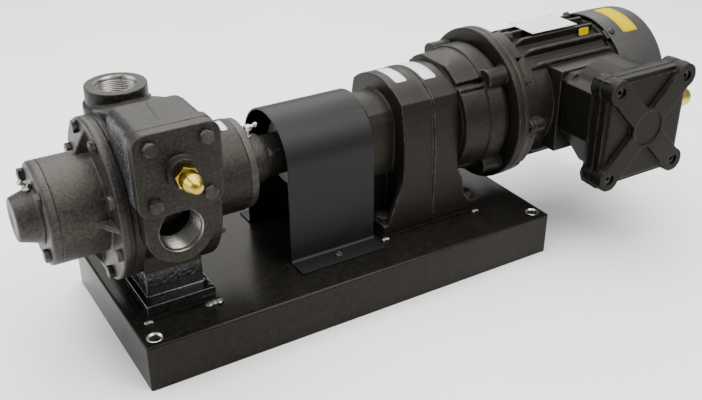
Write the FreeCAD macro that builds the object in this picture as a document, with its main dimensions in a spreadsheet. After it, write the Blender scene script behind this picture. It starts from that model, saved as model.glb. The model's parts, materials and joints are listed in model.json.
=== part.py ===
import FreeCAD, Part
import Sketcher
import math
import os
from FreeCAD import Vector, Rotation, Placement

# Skid-mounted transfer pump set: a sliding-vane pump, a jaw coupling under a
# sheet guard, a foot-mounted inline gear reducer and a flange-mounted,
# enclosed fan-cooled motor, on one welded base.
# Frame: origin at the centre of the base's underside, +X along the shaft from
# the pump towards the motor, +Z up, the ports' side is -Y. Millimetres.

doc = FreeCAD.newDocument("fuel_transfer_pump")
sheet = doc.addObject("Spreadsheet::Sheet", "Dims")

TABLE = [
    ("base_length", 550), ("base_width", 250), ("base_height", 56),
    ("plate_thick", 6), ("rail_thick", 4),
    ("anchor_span_x", 520), ("anchor_span_y", 218),
    ("sleeve_radius", 9), ("anchor_radius", 6.5), ("pad_thick", 4),
    ("shaft_height", 176),
    # pump
    ("pump_x", -219), ("casing_half", 42), ("casing_radius", 80),
    ("flange_radius", 90), ("flange_thick", 11),
    ("head_radius", 91), ("head_thick", 13),
    ("head_bolt_circle", 81), ("head_bolt_radius", 4), ("head_bolt_flats", 13),
    ("bore_radius", 62), ("liner_bore", 54), ("rotor_radius", 48),
    ("offset_y", 3.9), ("offset_z", -3.9),
    ("out_housing_radius", 57), ("drive_housing_radius", 54.6),
    ("out_housing_end", 107.6), ("drive_housing_end", 107.7),
    ("seal_bore", 30), ("bearing_bore", 36), ("shaft_radius", 15),
    ("stub_radius", 14), ("seal_shaft", 17),
    ("cover_thick", 10), ("cover_bolt_circle", 46.5), ("drive_boss_radius", 29.5),
    ("front_port_face", 111), ("front_port_boss", 37.3),
    ("top_port_face", 106), ("top_port_boss", 34.5),
    ("top_port_x", -1.5), ("top_port_y", 50),
    ("port_bore", 22.4), ("port_mouth", 24.2),
    ("vane_thick", 5), ("vane_root", 31.3), ("vane_tip", 47.7),
    ("valve_z", 74), ("valve_cover_width", 91), ("valve_cover_height", 90),
    ("valve_joint", 111), ("valve_cover_thick", 14),
    ("foot_half_y", 77), ("foot_shift", 4.5), ("foot_half_x", 40.25),
    ("foot_bolt_x", 27), ("foot_bolt_y", 66), ("foot_bolt_radius", 5),
    # coupling and guard
    ("hub_radius", 25), ("jaw_radius", 40), ("jaw_width", 18),
    ("guard_x", -10.75), ("guard_half_length", 57.75),
    ("guard_radius", 57.5), ("guard_sheet", 2), ("guard_flange", 86),
    # gear reducer
    ("gear_x", 130), ("arch_radius", 85), ("arch_drop", 16), ("ridge_half", 55),
    ("side_half", 64.5), ("gear_front", -44), ("gear_back", 38),
    ("gear_wall", 7), ("snout_front", -78), ("snout_radius", 50),
    ("snout_half", 35), ("gear_foot_thick", 12), ("gear_foot_half", 64.5),
    ("centre_distance", 60), ("gear_module", 2),
    ("motor_pinion_teeth", 20), ("wheel_teeth", 40),
    ("lay_pinion_teeth", 24), ("output_teeth", 36),
    ("output_radius", 14), ("gear_bearing_radius", 23.5),
    # lantern and motor
    ("motor_x", 243), ("motor_flange_radius", 100), ("flange_bolt_circle", 82.5),
    ("lantern_radius", 82), ("cowl_radius", 88), ("cowl_start", 182),
    ("cowl_end", 262), ("frame_radius", 76), ("fin_radius", 87),
    ("frame_start", 26), ("frame_end", 180), ("motor_shaft_radius", 12),
    ("box_x", 131), ("box_front", 180), ("box_joint", 150),
    ("box_hole_x", 112), ("box_hole_z", 116),
]
for row, (alias, value) in enumerate(TABLE, 1):
    sheet.set("A%d" % row, alias)
    sheet.set("B%d" % row, str(value))
    sheet.setAlias("B%d" % row, alias)
doc.recompute()


class Dim(object):
    """A length that carries its value and the sheet expression behind it."""

    def __init__(self, value, text):
        self.v = float(value)
        self.e = text

    def __add__(self, other):
        other = dim(other)
        return Dim(self.v + other.v, "(%s + %s)" % (self.e, other.e))

    __radd__ = __add__

    def __neg__(self):
        return Dim(-self.v, "(0 - %s)" % self.e)

    def __sub__(self, other):
        return self + (-dim(other))

    def __rsub__(self, other):
        return dim(other) + (-self)

    def __mul__(self, k):
        return Dim(self.v * k, "(%s * %r)" % (self.e, float(k)))

    __rmul__ = __mul__

    def __truediv__(self, k):
        return self * (1.0 / k)


def dim(x):
    if isinstance(x, Dim):
        return x
    return Dim(x, "%.6f" % float(x))


def bound(x):
    return isinstance(x, Dim) and "Dims." in x.e


class Sizes(object):
    pass


S = Sizes()
for alias, value in TABLE:
    setattr(S, alias, Dim(value, "Dims." + alias))

NODES = []      # every sub-part, in build order
COUNT = [0]


def serial(stem):
    COUNT[0] += 1
    return "%s_%03d" % (stem, COUNT[0])


def body(name, x=0, y=0, z=0, turn=None):
    """A sub-part whose features are drawn in its own local frame."""
    b = doc.addObject("PartDesign::Body", name)
    b.Label = name
    b.AllowCompound = True
    x, y, z = dim(x), dim(y), dim(z)
    b.Placement = Placement(Vector(x.v, y.v, z.v), turn or Rotation())
    for axis, value in (("x", x), ("y", y), ("z", z)):
        if bound(value):
            b.setExpression("Placement.Base." + axis, value.e)
    NODES.append(b)
    return b


ALONG_MINUS_Y = Rotation(Vector(0, 0, 1), -90)   # local +x points to -Y
ALONG_Z = Rotation(Vector(0, 1, 0), -90)         # local +x points to +Z


def radial(b, angle, distance):
    """Sketch whose normal leaves the local X axis at an angle from +Z towards -Y."""
    sk = sketch(b, "XY_Plane")
    sk.AttachmentOffset = Placement(Vector(), Rotation(Vector(1, 0, 0), angle)).multiply(
        Placement(Vector(0, 0, dim(distance).v), Rotation()))
    return sk


def origin_item(b, role):
    return [f for f in b.Origin.OriginFeatures if f.Role == role][0]


def sketch(b, role, offset=0, turn=None):
    sk = b.newObject("Sketcher::SketchObject", serial(b.Name + "_sketch"))
    sk.AttachmentSupport = [(origin_item(b, role), "")]
    sk.MapMode = "FlatFace"
    off = dim(offset)
    sk.AttachmentOffset = Placement(Vector(0, 0, off.v), turn or Rotation())
    if bound(off):
        sk.setExpression("AttachmentOffset.Base.z", off.e)
    return sk


def pin(sk, cons, binds, geo, pos, x, y):
    """Constrain a point to (x, y), each a number or a sheet length."""
    for kind, axis, value in (("DistanceX", -2, x), ("DistanceY", -1, y)):
        d = dim(value)
        if abs(d.v) < 1e-9 and not bound(value):
            cons.append(Sketcher.Constraint("PointOnObject", geo, pos, axis))
        else:
            cons.append(Sketcher.Constraint(kind, -1, 1, geo, pos, d.v))
            if bound(value):
                binds.append((len(cons) - 1, d.e))


def commit(sk, cons, binds):
    base = sk.ConstraintCount
    sk.addConstraint(cons)
    for index, text in binds:
        sk.setExpression("Constraints[%d]" % (base + index), text)


def poly(sk, pts):
    n = len(pts)
    vs = [Vector(dim(p[0]).v, dim(p[1]).v, 0) for p in pts]
    ids = sk.addGeometry([Part.LineSegment(vs[i], vs[(i + 1) % n]) for i in range(n)], False)
    cons, binds = [], []
    for i in range(n):
        cons.append(Sketcher.Constraint("Coincident", ids[i], 2, ids[(i + 1) % n], 1))
    for i in range(n):
        pin(sk, cons, binds, ids[i], 1, pts[i][0], pts[i][1])
    commit(sk, cons, binds)
    return sk


def rect(sk, x0, y0, x1, y1):
    return poly(sk, [(x0, y0), (x1, y0), (x1, y1), (x0, y1)])


def circle(sk, x, y, r):
    r = r if isinstance(r, Dim) else dim(r)
    i = sk.addGeometry(Part.Circle(Vector(dim(x).v, dim(y).v, 0), Vector(0, 0, 1), r.v), False)
    cons, binds = [], []
    pin(sk, cons, binds, i, 3, x, y)
    cons.append(Sketcher.Constraint("Radius", i, r.v))
    if bound(r):
        binds.append((len(cons) - 1, r.e))
    commit(sk, cons, binds)
    return sk


def hexagon(sk, x, y, flats, turn=0.0):
    r = dim(flats).v / math.sqrt(3)
    k = 1.0 / math.sqrt(3)
    pts = []
    for i in range(6):
        a = math.radians(60 * i + turn)
        c, s = math.cos(a), math.sin(a)
        if bound(flats):
            pts.append((dim(x) + flats * (k * c), dim(y) + flats * (k * s)))
        else:
            pts.append((dim(x).v + r * c, dim(y).v + r * s))
    return poly(sk, pts)


def crown(sk, radius, drop, half_top, sides):
    """Crowned outline: arc about a centre `drop` below the origin, then side points down both flanks."""
    r, d, ht = dim(radius), dim(drop), dim(half_top)
    top = math.sqrt(r.v ** 2 - ht.v ** 2)
    a0 = math.atan2(top, ht.v)
    arc = sk.addGeometry(Part.ArcOfCircle(Part.Circle(Vector(0, -d.v, 0), Vector(0, 0, 1), r.v), a0, math.pi - a0), False)
    chain = [(-ht, top - d.v)] + [(-dim(y), dim(z)) for y, z in sides] \
        + [(dim(y), dim(z)) for y, z in sides[::-1]] + [(ht, top - d.v)]
    ps = [Vector(dim(y).v, dim(z).v, 0) for y, z in chain]
    ids = sk.addGeometry([Part.LineSegment(ps[i], ps[i + 1]) for i in range(len(ps) - 1)], False)
    C = Sketcher.Constraint
    cons, binds = [C("Radius", arc, r.v)], []
    if bound(radius):
        binds.append((0, r.e))
    pin(sk, cons, binds, arc, 3, 0, -d)
    cons.append(C("Coincident", arc, 2, ids[0], 1))
    cons.append(C("Coincident", ids[-1], 2, arc, 1))
    for i in range(len(ids) - 1):
        cons.append(C("Coincident", ids[i], 2, ids[i + 1], 1))
    for geo, pos, value in ((ids[0], 1, -ht), (ids[-1], 2, ht)):
        cons.append(C("DistanceX", -1, 1, geo, pos, value.v))
        if bound(half_top):
            binds.append((len(cons) - 1, value.e))
    for i in range(1, len(ids)):
        pin(sk, cons, binds, ids[i], 1, chain[i][0], chain[i][1])
    commit(sk, cons, binds)
    return sk


def sector(sk, r0, r1, a0, a1):
    """Piece of a ring in the YZ plane; angles from +Z towards -Y."""
    n = int(round((a1 - a0) / 4.0)) or 1
    turns = [math.radians(a0 + (a1 - a0) * i / n) for i in range(n + 1)]
    return poly(sk, [(-r0 * math.sin(t), r0 * math.cos(t)) for t in turns]
                + [(-r1 * math.sin(t), r1 * math.cos(t)) for t in turns[::-1]])


def feature(b, kind, stem):
    return b.newObject("PartDesign::" + kind, serial(b.Name + "_" + stem))


def pad(b, sk, length, rev=False):
    f = feature(b, "Pad", "pad")
    f.Profile = sk
    length = dim(length)
    f.Length = length.v
    if bound(length):
        f.setExpression("Length", length.e)
    f.Reversed = rev
    b.Tip = f
    return f


def pocket(b, sk, length, rev=False):
    """Cuts along the sketch's normal (rev=True) or against it, and must cut."""
    doc.recompute()
    before = b.Shape.Volume
    f = feature(b, "Pocket", "pocket")
    f.Profile = sk
    length = dim(length)
    f.Length = length.v
    if bound(length):
        f.setExpression("Length", length.e)
    f.Reversed = rev
    b.Tip = f
    doc.recompute()
    if not b.Shape.Volume < before - 1e-6:
        raise RuntimeError("pocket cut nothing in " + b.Label)
    return f


def revolve(b, pts, role="XY_Plane", axis="H_Axis", turn=None, angle=360.0):
    sk = sketch(b, role, 0, turn)
    poly(sk, pts)
    f = feature(b, "Revolution", "turned")
    f.Profile = sk
    f.ReferenceAxis = (sk, [axis])
    f.Angle = angle
    b.Tip = f
    return f


def groove(b, pts, role="XY_Plane", axis="H_Axis"):
    doc.recompute()
    before = b.Shape.Volume
    sk = sketch(b, role)
    poly(sk, pts)
    f = feature(b, "Groove", "groove")
    f.Profile = sk
    f.ReferenceAxis = (sk, [axis])
    f.Angle = 360.0
    b.Tip = f
    doc.recompute()
    if not b.Shape.Volume < before - 1e-6:
        raise RuntimeError("groove cut nothing in " + b.Label)
    return f


def polar(b, feats, n, role="X_Axis", angle=360.0):
    doc.recompute()
    f = feature(b, "PolarPattern", "ring")
    f.Originals = feats
    f.Axis = (origin_item(b, role), [""])
    f.Angle = angle
    f.Occurrences = n
    b.Tip = f
    return f


def fillet(b, radius, pick):
    """Rounds the edges of the body's current shape that pick() accepts."""
    doc.recompute()
    tip = b.Tip
    names = ["Edge%d" % (i + 1) for i, e in enumerate(tip.Shape.Edges) if pick(e)]
    if not names:
        raise RuntimeError("no edge to round in " + b.Label)
    f = feature(b, "Fillet", "round")
    f.Base = (tip, names)
    f.Radius = radius
    b.Tip = f
    return f


def runs_along(e, axis, tol=1e-6):
    if not isinstance(e.Curve, Part.Line):
        return False
    d = e.Vertexes[-1].Point - e.Vertexes[0].Point
    if d.Length < tol:
        return False
    d.normalize()
    return abs(abs(d.dot(axis)) - 1) < 1e-6


X, Y, Z = Vector(1, 0, 0), Vector(0, 1, 0), Vector(0, 0, 1)
H = S.shaft_height

# ---------------------------------------------------------------- base
hx, hy = S.anchor_span_x / 2, S.anchor_span_y / 2
corners = [(sx, sy) for sx in (-1, 1) for sy in (-1, 1)]
pump_bolts = [(S.pump_x + S.foot_shift + S.foot_bolt_x * sx, S.foot_bolt_y * sy) for sx, sy in corners]
gear_bolts = [(68.5, -46), (68.5, 46), (194.5, -46), (194.5, 46)]
guard_screws = [(-12, -72), (-12, 72)]

b = body("base_top_plate", 0, 0, S.base_height - S.plate_thick)
sk = sketch(b, "XY_Plane")
rect(sk, -S.base_length / 2, -S.base_width / 2, S.base_length / 2, S.base_width / 2)
for sx, sy in corners:
    circle(sk, hx * sx, hy * sy, S.sleeve_radius + 0.05)
for x, y in pump_bolts:
    circle(sk, x, y, S.foot_bolt_radius + 0.3)
for x, y in gear_bolts:
    circle(sk, x, y, S.foot_bolt_radius)
for x, y in guard_screws:
    circle(sk, x, y, 2.5)
pad(b, sk, S.plate_thick)

b = body("base_side_rails")
sk = sketch(b, "XY_Plane")
for s in (-1, 1):
    rect(sk, -S.base_length / 2, S.base_width * (0.5 * s), S.base_length / 2, (S.base_width / 2 - S.rail_thick) * s)
pad(b, sk, S.base_height - S.plate_thick)

b = body("base_end_rails")
sk = sketch(b, "XY_Plane")
for s in (-1, 1):
    rect(sk, S.base_length * (0.5 * s), -S.base_width / 2 + S.rail_thick, (S.base_length / 2 - S.rail_thick) * s, S.base_width / 2 - S.rail_thick)
pad(b, sk, S.base_height - S.plate_thick)

# spacer sleeves welded through the plate at the four anchor holes
b = body("anchor_sleeves")
sk = sketch(b, "XY_Plane")
for sx, sy in corners:
    circle(sk, hx * sx, hy * sy, S.sleeve_radius)
    circle(sk, hx * sx, hy * sy, S.anchor_radius)
pad(b, sk, S.base_height + 0.4)

# thin machined pads under the pump foot and the reducer foot
b = body("mounting_pads", 0, 0, S.base_height)
sk = sketch(b, "XY_Plane")
fx = S.pump_x + S.foot_shift
rect(sk, fx - S.foot_half_x - 3, -S.foot_half_y - 4, fx + S.foot_half_x + 3, S.foot_half_y + 4)
for x, y in pump_bolts:
    circle(sk, x, y, S.foot_bolt_radius + 0.3)
rect(sk, 55, -S.gear_foot_half - 3.5, 207.5, S.gear_foot_half + 3.5)
for x, y in gear_bolts:
    circle(sk, x, y, S.foot_bolt_radius + 0.1)
pad(b, sk, S.pad_thick)

# eight equal hexagon bolts: the pump's come up from below, the reducer's go down
b = body("foot_bolts")
sk = sketch(b, "XY_Plane", S.base_height - S.plate_thick)
for x, y in pump_bolts:
    hexagon(sk, x, y, 16.0)
pad(b, sk, 6.4, rev=True)
sk = sketch(b, "XY_Plane", S.base_height - S.plate_thick)
for x, y in pump_bolts:
    circle(sk, x, y, S.foot_bolt_radius)
pad(b, sk, 21)
top = S.base_height + S.pad_thick + S.gear_foot_thick
sk = sketch(b, "XY_Plane", top)
for x, y in gear_bolts:
    hexagon(sk, x, y, 16.0, 20)
pad(b, sk, 6.4)
sk = sketch(b, "XY_Plane", top)
for x, y in gear_bolts:
    circle(sk, x, y, S.foot_bolt_radius)
pad(b, sk, 21, rev=True)

# ---------------------------------------------------------------- pump casing
ch = S.casing_half
b = body("pump_casing", S.pump_x, 0, H)
# relief valve chamber: a block behind the square cover, rounded corners
sk = sketch(b, "XZ_Plane", 40)
rect(sk, -ch, S.valve_z - 43, ch, S.valve_z + 43)
pad(b, sk, S.valve_joint - 40)
fillet(b, 12.0, lambda e: runs_along(e, Y))
sk = sketch(b, "YZ_Plane", -ch)
circle(sk, 0, 0, S.casing_radius)
pad(b, sk, ch * 2)
for x0 in (-ch, ch - S.flange_thick):
    sk = sketch(b, "YZ_Plane", x0)
    circle(sk, 0, 0, S.flange_radius)
    pad(b, sk, S.flange_thick)
# square flange of the chamber, at the cover joint
sk = sketch(b, "XZ_Plane", 97)
c, w, h = 14.0, S.valve_cover_width / 2, S.valve_cover_height / 2
arcpts = []
for cx, cy, a0 in ((1, 1, 0), (-1, 1, 90), (-1, -1, 180), (1, -1, 270)):
    for k in range(7):
        a = math.radians(a0 + 15 * k)
        arcpts.append(((w - c) * cx + c * math.cos(a), S.valve_z + (h - c) * cy + c * math.sin(a)))
poly(sk, arcpts)
pad(b, sk, S.valve_joint - 97)
# front port: flared boss at shaft height
revolve(b, [(0, -40), (40.5, -40), (40.5, -78), (39.4, -84), (38.2, -89), (S.front_port_boss, -95),
            (S.front_port_boss, -S.front_port_face), (0, -S.front_port_face)], axis="V_Axis")
sk = sketch(b, "XZ_Plane", 60)
rect(sk, -S.front_port_boss, 0, S.front_port_boss, 45)
pad(b, sk, S.front_port_face - 60)
# top port: upright boss over the far side of the casing
sk = sketch(b, "XY_Plane", 4)
circle(sk, S.top_port_x, S.top_port_y, S.top_port_boss)
pad(b, sk, S.top_port_face - 4)
sk = sketch(b, "XY_Plane", 4)
circle(sk, S.top_port_x, S.top_port_y, 38.0)
pad(b, sk, 82)
# web between the chamber and the top port
sk = sketch(b, "YZ_Plane", -35)
poly(sk, [(-70, 30), (-70, 114), (-46, 114), (20, 94), (60, 80), (60, 20), (0, 0)])
pad(b, sk, 70)
# neck and foot
sk = sketch(b, "XY_Plane", -103)
rect(sk, S.foot_shift - 33, -60, S.foot_shift + 33, 60)
pad(b, sk, 50)
sk = sketch(b, "XY_Plane", -116)
rect(sk, S.foot_shift - S.foot_half_x, -S.foot_half_y, S.foot_shift + S.foot_half_x, S.foot_half_y)
pad(b, sk, 13)
# bores
sk = sketch(b, "YZ_Plane", ch + 1)
circle(sk, S.offset_y, S.offset_z, S.bore_radius)
pocket(b, sk, ch * 2 + 2)
groove(b, [(0, -50), (17.5, -50), (17.5, -65), (S.port_bore, -66), (S.port_bore, -S.front_port_face + 3),
           (S.port_mouth, -S.front_port_face + 1), (S.port_mouth, -S.front_port_face - 1),
           (0, -S.front_port_face - 1)], axis="V_Axis")
sk = sketch(b, "XY_Plane", S.top_port_face + 1)
circle(sk, S.top_port_x, S.top_port_y, S.port_bore)
pocket(b, sk, S.top_port_face - 60)
sk = sketch(b, "XY_Plane", S.top_port_face + 1)
circle(sk, S.top_port_x, S.top_port_y, 17.5)
pocket(b, sk, S.top_port_face - 24)
sk = sketch(b, "XY_Plane", S.top_port_face + 1)
circle(sk, S.top_port_x, S.top_port_y, S.port_mouth)
pocket(b, sk, 3)
# spring chamber, valve seat bore to the top port, return passage to the front port
sk = sketch(b, "XZ_Plane", S.valve_joint + 1)
circle(sk, 0, S.valve_z, 27.0)
pocket(b, sk, S.valve_joint + 1 - 62)
sk = sketch(b, "XZ_Plane", 63)
circle(sk, 0, S.valve_z, 12.0)
pocket(b, sk, 100)
sk = sketch(b, "XY_Plane", 62)
circle(sk, 0, -88, 11.0)
pocket(b, sk, 62)
# tapped holes
sk = sketch(b, "YZ_Plane", ch + 1)
circle(sk, S.head_bolt_circle * math.sin(math.radians(22.5)), S.head_bolt_circle * math.cos(math.radians(22.5)), S.head_bolt_radius)
polar(b, [pocket(b, sk, 12.3)], 8)
sk = sketch(b, "YZ_Plane", -ch - 1)
circle(sk, S.head_bolt_circle * math.sin(math.radians(22.5)), S.head_bolt_circle * math.cos(math.radians(22.5)), S.head_bolt_radius)
polar(b, [pocket(b, sk, 12.3, rev=True)], 8)
sk = sketch(b, "XZ_Plane", S.valve_joint + 1)
for sx, sy in corners:
    circle(sk, 29.0 * sx, S.valve_z + 30.5 * sy, 4.0)
pocket(b, sk, 19)
sk = sketch(b, "XY_Plane", -116)
for sx, sy in corners:
    circle(sk, S.foot_shift + S.foot_bolt_x * sx, S.foot_bolt_y * sy, S.foot_bolt_radius)
pocket(b, sk, 12, rev=True)

# ---------------------------------------------------------------- liner, discs
b = body("casing_liner", S.pump_x, S.offset_y, H + S.offset_z)
sk = sketch(b, "YZ_Plane", -34)
circle(sk, 0, 0, S.bore_radius - 0.02)
circle(sk, 0, 0, S.liner_bore)
pad(b, sk, 68)
sk = sketch(b, "XZ_Plane", 66)
rect(sk, -17, -12, 17, 20)
pocket(b, sk, 26)
sk = sketch(b, "XY_Plane", 60)
rect(sk, -18, 30, 15, 58)
pocket(b, sk, 45)

b = body("end_discs", S.pump_x, S.offset_y, H + S.offset_z)
for x0 in (-ch, ch - 7.9):
    sk = sketch(b, "YZ_Plane", x0)
    circle(sk, 0, 0, S.bore_radius - 0.02)
    circle(sk, -S.offset_y, -S.offset_z, 20.0)
    pad(b, sk, 7.9)

# ---------------------------------------------------------------- heads


def head(name, side, radius, end):
    b = body(name, S.pump_x, 0, H)
    m = side
    revolve(b, [(ch * m, S.seal_bore), (ch * m, S.head_radius), ((ch + S.head_thick - 1.5) * m, S.head_radius),
                ((ch + S.head_thick) * m, S.head_radius - 1.5), ((ch + S.head_thick) * m, radius),
                (end * m, radius), (end * m, S.bearing_bore), (dim(82) * m, S.bearing_bore),
                (dim(82) * m, 20), (dim(74) * m, 20), (dim(74) * m, S.seal_bore)])
    sk = sketch(b, "XZ_Plane", -2.5)
    poly(sk, [((ch + S.head_thick - 1) * m, 85), ((ch + S.head_thick - 1) * m, 50), (dim(71) * m, 50), (dim(71) * m, radius - 0.6)])
    polar(b, [pad(b, sk, 5)], 4)
    sk = sketch(b, "YZ_Plane", (ch + S.head_thick + 1) * m)
    circle(sk, S.head_bolt_circle * math.sin(math.radians(22.5)), S.head_bolt_circle * math.cos(math.radians(22.5)), S.head_bolt_radius + 0.3)
    f = pocket(b, sk, 20, rev=(m < 0))
    polar(b, [f], 8)
    sk = sketch(b, "YZ_Plane", (end + 1) * m)
    circle(sk, S.cover_bolt_circle * math.sin(math.radians(45)), S.cover_bolt_circle * math.cos(math.radians(45)), 4.0 if m < 0 else 3.0)
    f = pocket(b, sk, 19, rev=(m < 0))
    polar(b, [f], 4)
    return b


head("outboard_head", -1, S.out_housing_radius, S.out_housing_end)
head("drive_head", 1, S.drive_housing_radius, S.drive_housing_end)

b = body("head_bolts", S.pump_x, 0, H)
feats = []
for m in (-1, 1):
    y0, z0 = S.head_bolt_circle * math.sin(math.radians(22.5)), S.head_bolt_circle * math.cos(math.radians(22.5))
    sk = sketch(b, "YZ_Plane", (ch + S.head_thick) * m)
    hexagon(sk, y0, z0, S.head_bolt_flats, 11)
    feats.append(pad(b, sk, 5.5, rev=(m < 0)))
    sk = sketch(b, "YZ_Plane", (ch + S.head_thick) * m)
    circle(sk, y0, z0, S.head_bolt_radius)
    feats.append(pad(b, sk, 23, rev=(m > 0)))
polar(b, feats, 8)

# ---------------------------------------------------------------- rotor, vanes
b = body("pump_rotor_shaft", S.pump_x, 0, H)
revolve(b, [(-135, 0), (-135, S.stub_radius), (-102.4, S.stub_radius), (-102.4, S.shaft_radius), (-82.4, S.shaft_radius),
            (-82.4, S.seal_shaft), (-33.8, S.seal_shaft), (-33.8, S.rotor_radius), (33.8, S.rotor_radius),
            (33.8, S.seal_shaft), (82.4, S.seal_shaft), (82.4, S.shaft_radius), (102.4, S.shaft_radius),
            (102.4, S.stub_radius), (169, S.stub_radius), (170, S.stub_radius - 1), (170, 0)])
sk = sketch(b, "YZ_Plane", 34, Rotation(Z, 30))
rect(sk, -S.vane_thick / 2 - 0.05, S.vane_root - 0.3, S.vane_thick / 2 + 0.05, 50)
polar(b, [pocket(b, sk, 68)], 6)
for x0, a in ((-20, -30), (0, -90), (20, -150)):
    sk = radial(b, a, 40)
    circle(sk, x0, 0, 2.6)
    pocket(b, sk, 80)
# keyway in the drive end
sk = sketch(b, "XY_Plane", 16)
rect(sk, 146, -4, 168, 4)
pocket(b, sk, 6)

b = body("sliding_vanes", S.pump_x, 0, H)
sk = sketch(b, "YZ_Plane", -33.6, Rotation(Z, 30))
poly(sk, [(-S.vane_thick / 2, S.vane_root), (S.vane_thick / 2, S.vane_root), (S.vane_thick / 2, S.vane_tip - 1.2),
          (1.2, S.vane_tip), (-1.2, S.vane_tip), (-S.vane_thick / 2, S.vane_tip - 1.2)])
polar(b, [pad(b, sk, 67.2)], 6)

b = body("vane_push_rods", S.pump_x, 0, H)
for x0, a in ((-20, -30), (0, -90), (20, -150)):
    sk = radial(b, a, -31)
    circle(sk, x0, 0, 2.5)
    pad(b, sk, 62)

# ---------------------------------------------------------------- seals, bearings
b = body("seal_seats", S.pump_x, 0, H)
for m in (-1, 1):
    revolve(b, [(dim(74) * m, 18.2), (dim(74) * m, S.seal_bore - 0.02), (dim(67) * m, S.seal_bore - 0.02), (dim(67) * m, 18.2)])

b = body("seal_heads", S.pump_x, 0, H)
for m in (-1, 1):
    revolve(b, [(dim(66.8) * m, 19.5), (dim(66.8) * m, 24), (dim(60) * m, 24), (dim(60) * m, 26.5), (dim(46) * m, 26.5),
                (dim(46) * m, 17.0), (dim(56) * m, 17.0), (dim(56) * m, 19.5)])

b = body("pump_bearing_rollers", S.pump_x, 0, H)
feats = []
for m in (-1, 1):
    revolve(b, [(dim(82.6) * m, S.shaft_radius), (dim(82.6) * m, 21), (dim(101.4) * m, 21), (dim(101.4) * m, S.shaft_radius)])
    sk = sketch(b, "YZ_Plane", dim(84 if m > 0 else -99.6))
    circle(sk, 0, 26.0, 4.98)
    feats.append(pad(b, sk, 15.6))
polar(b, feats, 11)

# ---------------------------------------------------------------- bearing covers
oe, de = S.out_housing_end, S.drive_housing_end
b = body("outboard_bearing_cover", S.pump_x, 0, H)
revolve(b, [(-oe, S.out_housing_radius), (-oe - S.cover_thick + 4, S.out_housing_radius),
            (-oe - S.cover_thick + 1.2, S.out_housing_radius - 1.2), (-oe - S.cover_thick, S.out_housing_radius - 4),
            (-oe - S.cover_thick, 24), (-101.6, 24), (-101.6, S.bearing_bore - 0.05), (-oe, S.bearing_bore - 0.05)])
sk = sketch(b, "YZ_Plane", -oe - S.cover_thick - 1)
circle(sk, S.cover_bolt_circle * math.sin(math.radians(45)), S.cover_bolt_circle * math.cos(math.radians(45)), 4.3)
f = pocket(b, sk, 12, rev=True)
polar(b, [f], 4)

b = body("drive_bearing_cover", S.pump_x, 0, H)
revolve(b, [(de, 53.4), (de + 8.4, 53.4), (de + 9.6, 52.2), (de + 9.6, 31.5), (de + 11.6, S.drive_boss_radius),
            (140.5, S.drive_boss_radius), (143, S.drive_boss_radius - 3), (143, 15), (113, 15), (113, 24), (101.6, 24),
            (101.6, S.bearing_bore - 0.05), (de, S.bearing_bore - 0.05)])
sk = sketch(b, "YZ_Plane", de + 12)
circle(sk, S.cover_bolt_circle * math.sin(math.radians(45)), S.cover_bolt_circle * math.cos(math.radians(45)), 3.3)
f = pocket(b, sk, 13)
polar(b, [f], 4)
sk = sketch(b, "YZ_Plane", de + 12)
circle(sk, S.cover_bolt_circle * math.sin(math.radians(45)), S.cover_bolt_circle * math.cos(math.radians(45)), 5.5)
f = pocket(b, sk, 8.4)
polar(b, [f], 4)
# flat for the grease fitting on top of the boss
sk = sketch(b, "XY_Plane", S.drive_boss_radius - 0.4)
rect(sk, 123, -8, 135, 8)
pocket(b, sk, 3, rev=True)

# rubber lip seals: two round the pump shaft, one round the reducer's output shaft
b = body("lip_seals", S.pump_x, 0, H)
for x0 in (-112, 104):
    revolve(b, [(x0, S.stub_radius + 0.05), (x0, 23.95), (dim(x0 + 8), 23.95), (dim(x0 + 8), S.stub_radius + 0.05)])
revolve(b, [(271.5, S.output_radius + 0.05), (271.5, 23.4), (279, 23.4), (279, S.output_radius + 0.05)])

# bolts of the bearing covers (hexagons outboard, sunk socket heads at the drive end) and of the relief valve cover
b = body("cover_bolts", S.pump_x, 0, H)
feats = []
y0, z0 = S.cover_bolt_circle * math.sin(math.radians(45)), S.cover_bolt_circle * math.cos(math.radians(45))
sk = sketch(b, "YZ_Plane", -oe - S.cover_thick)
hexagon(sk, y0, z0, 13.0, 8)
feats.append(pad(b, sk, 5.5, rev=True))
sk = sketch(b, "YZ_Plane", -oe - S.cover_thick)
circle(sk, y0, z0, 4.0)
feats.append(pad(b, sk, 20))
sk = sketch(b, "YZ_Plane", de + 3.6)
circle(sk, y0, z0, 5.2)
feats.append(pad(b, sk, 5.6))
sk = sketch(b, "YZ_Plane", de + 3.6)
circle(sk, y0, z0, 3.0)
feats.append(pad(b, sk, 15, rev=True))
sk = sketch(b, "YZ_Plane", de + 10)
hexagon(sk, y0, z0, 5.0)
feats.append(pocket(b, sk, 3.6))
polar(b, feats, 4)
vf = S.valve_joint + S.valve_cover_thick
sk = sketch(b, "XZ_Plane", vf)
for i, (sx, sy) in enumerate(corners):
    hexagon(sk, 29.0 * sx, S.valve_z + 30.5 * sy, 13.0, 10 + 13 * i)
pad(b, sk, 5.5)
sk = sketch(b, "XZ_Plane", vf)
for sx, sy in corners:
    circle(sk, 29.0 * sx, S.valve_z + 30.5 * sy, 4.0)
pad(b, sk, 24, rev=True)

# closed tapered cap over the shaft's outboard end
b = body("shaft_end_cap", S.pump_x, 0, H)
revolve(b, [(-oe - S.cover_thick, 33), (-oe - S.cover_thick - 1.6, 31), (-140.2, 24.6), (-142, 23.6), (-142, 0), (-138.6, 0),
            (-138.6, 21.2), (-oe - S.cover_thick, 28)])
# sloped seat for the grease fitting
sk = sketch(b, "XZ_Plane", -5)
poly(sk, [(-oe - S.cover_thick, 34.1), (-124.2, 28.8), (-oe - S.cover_thick, 28.8)])
pad(b, sk, 10)


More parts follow.
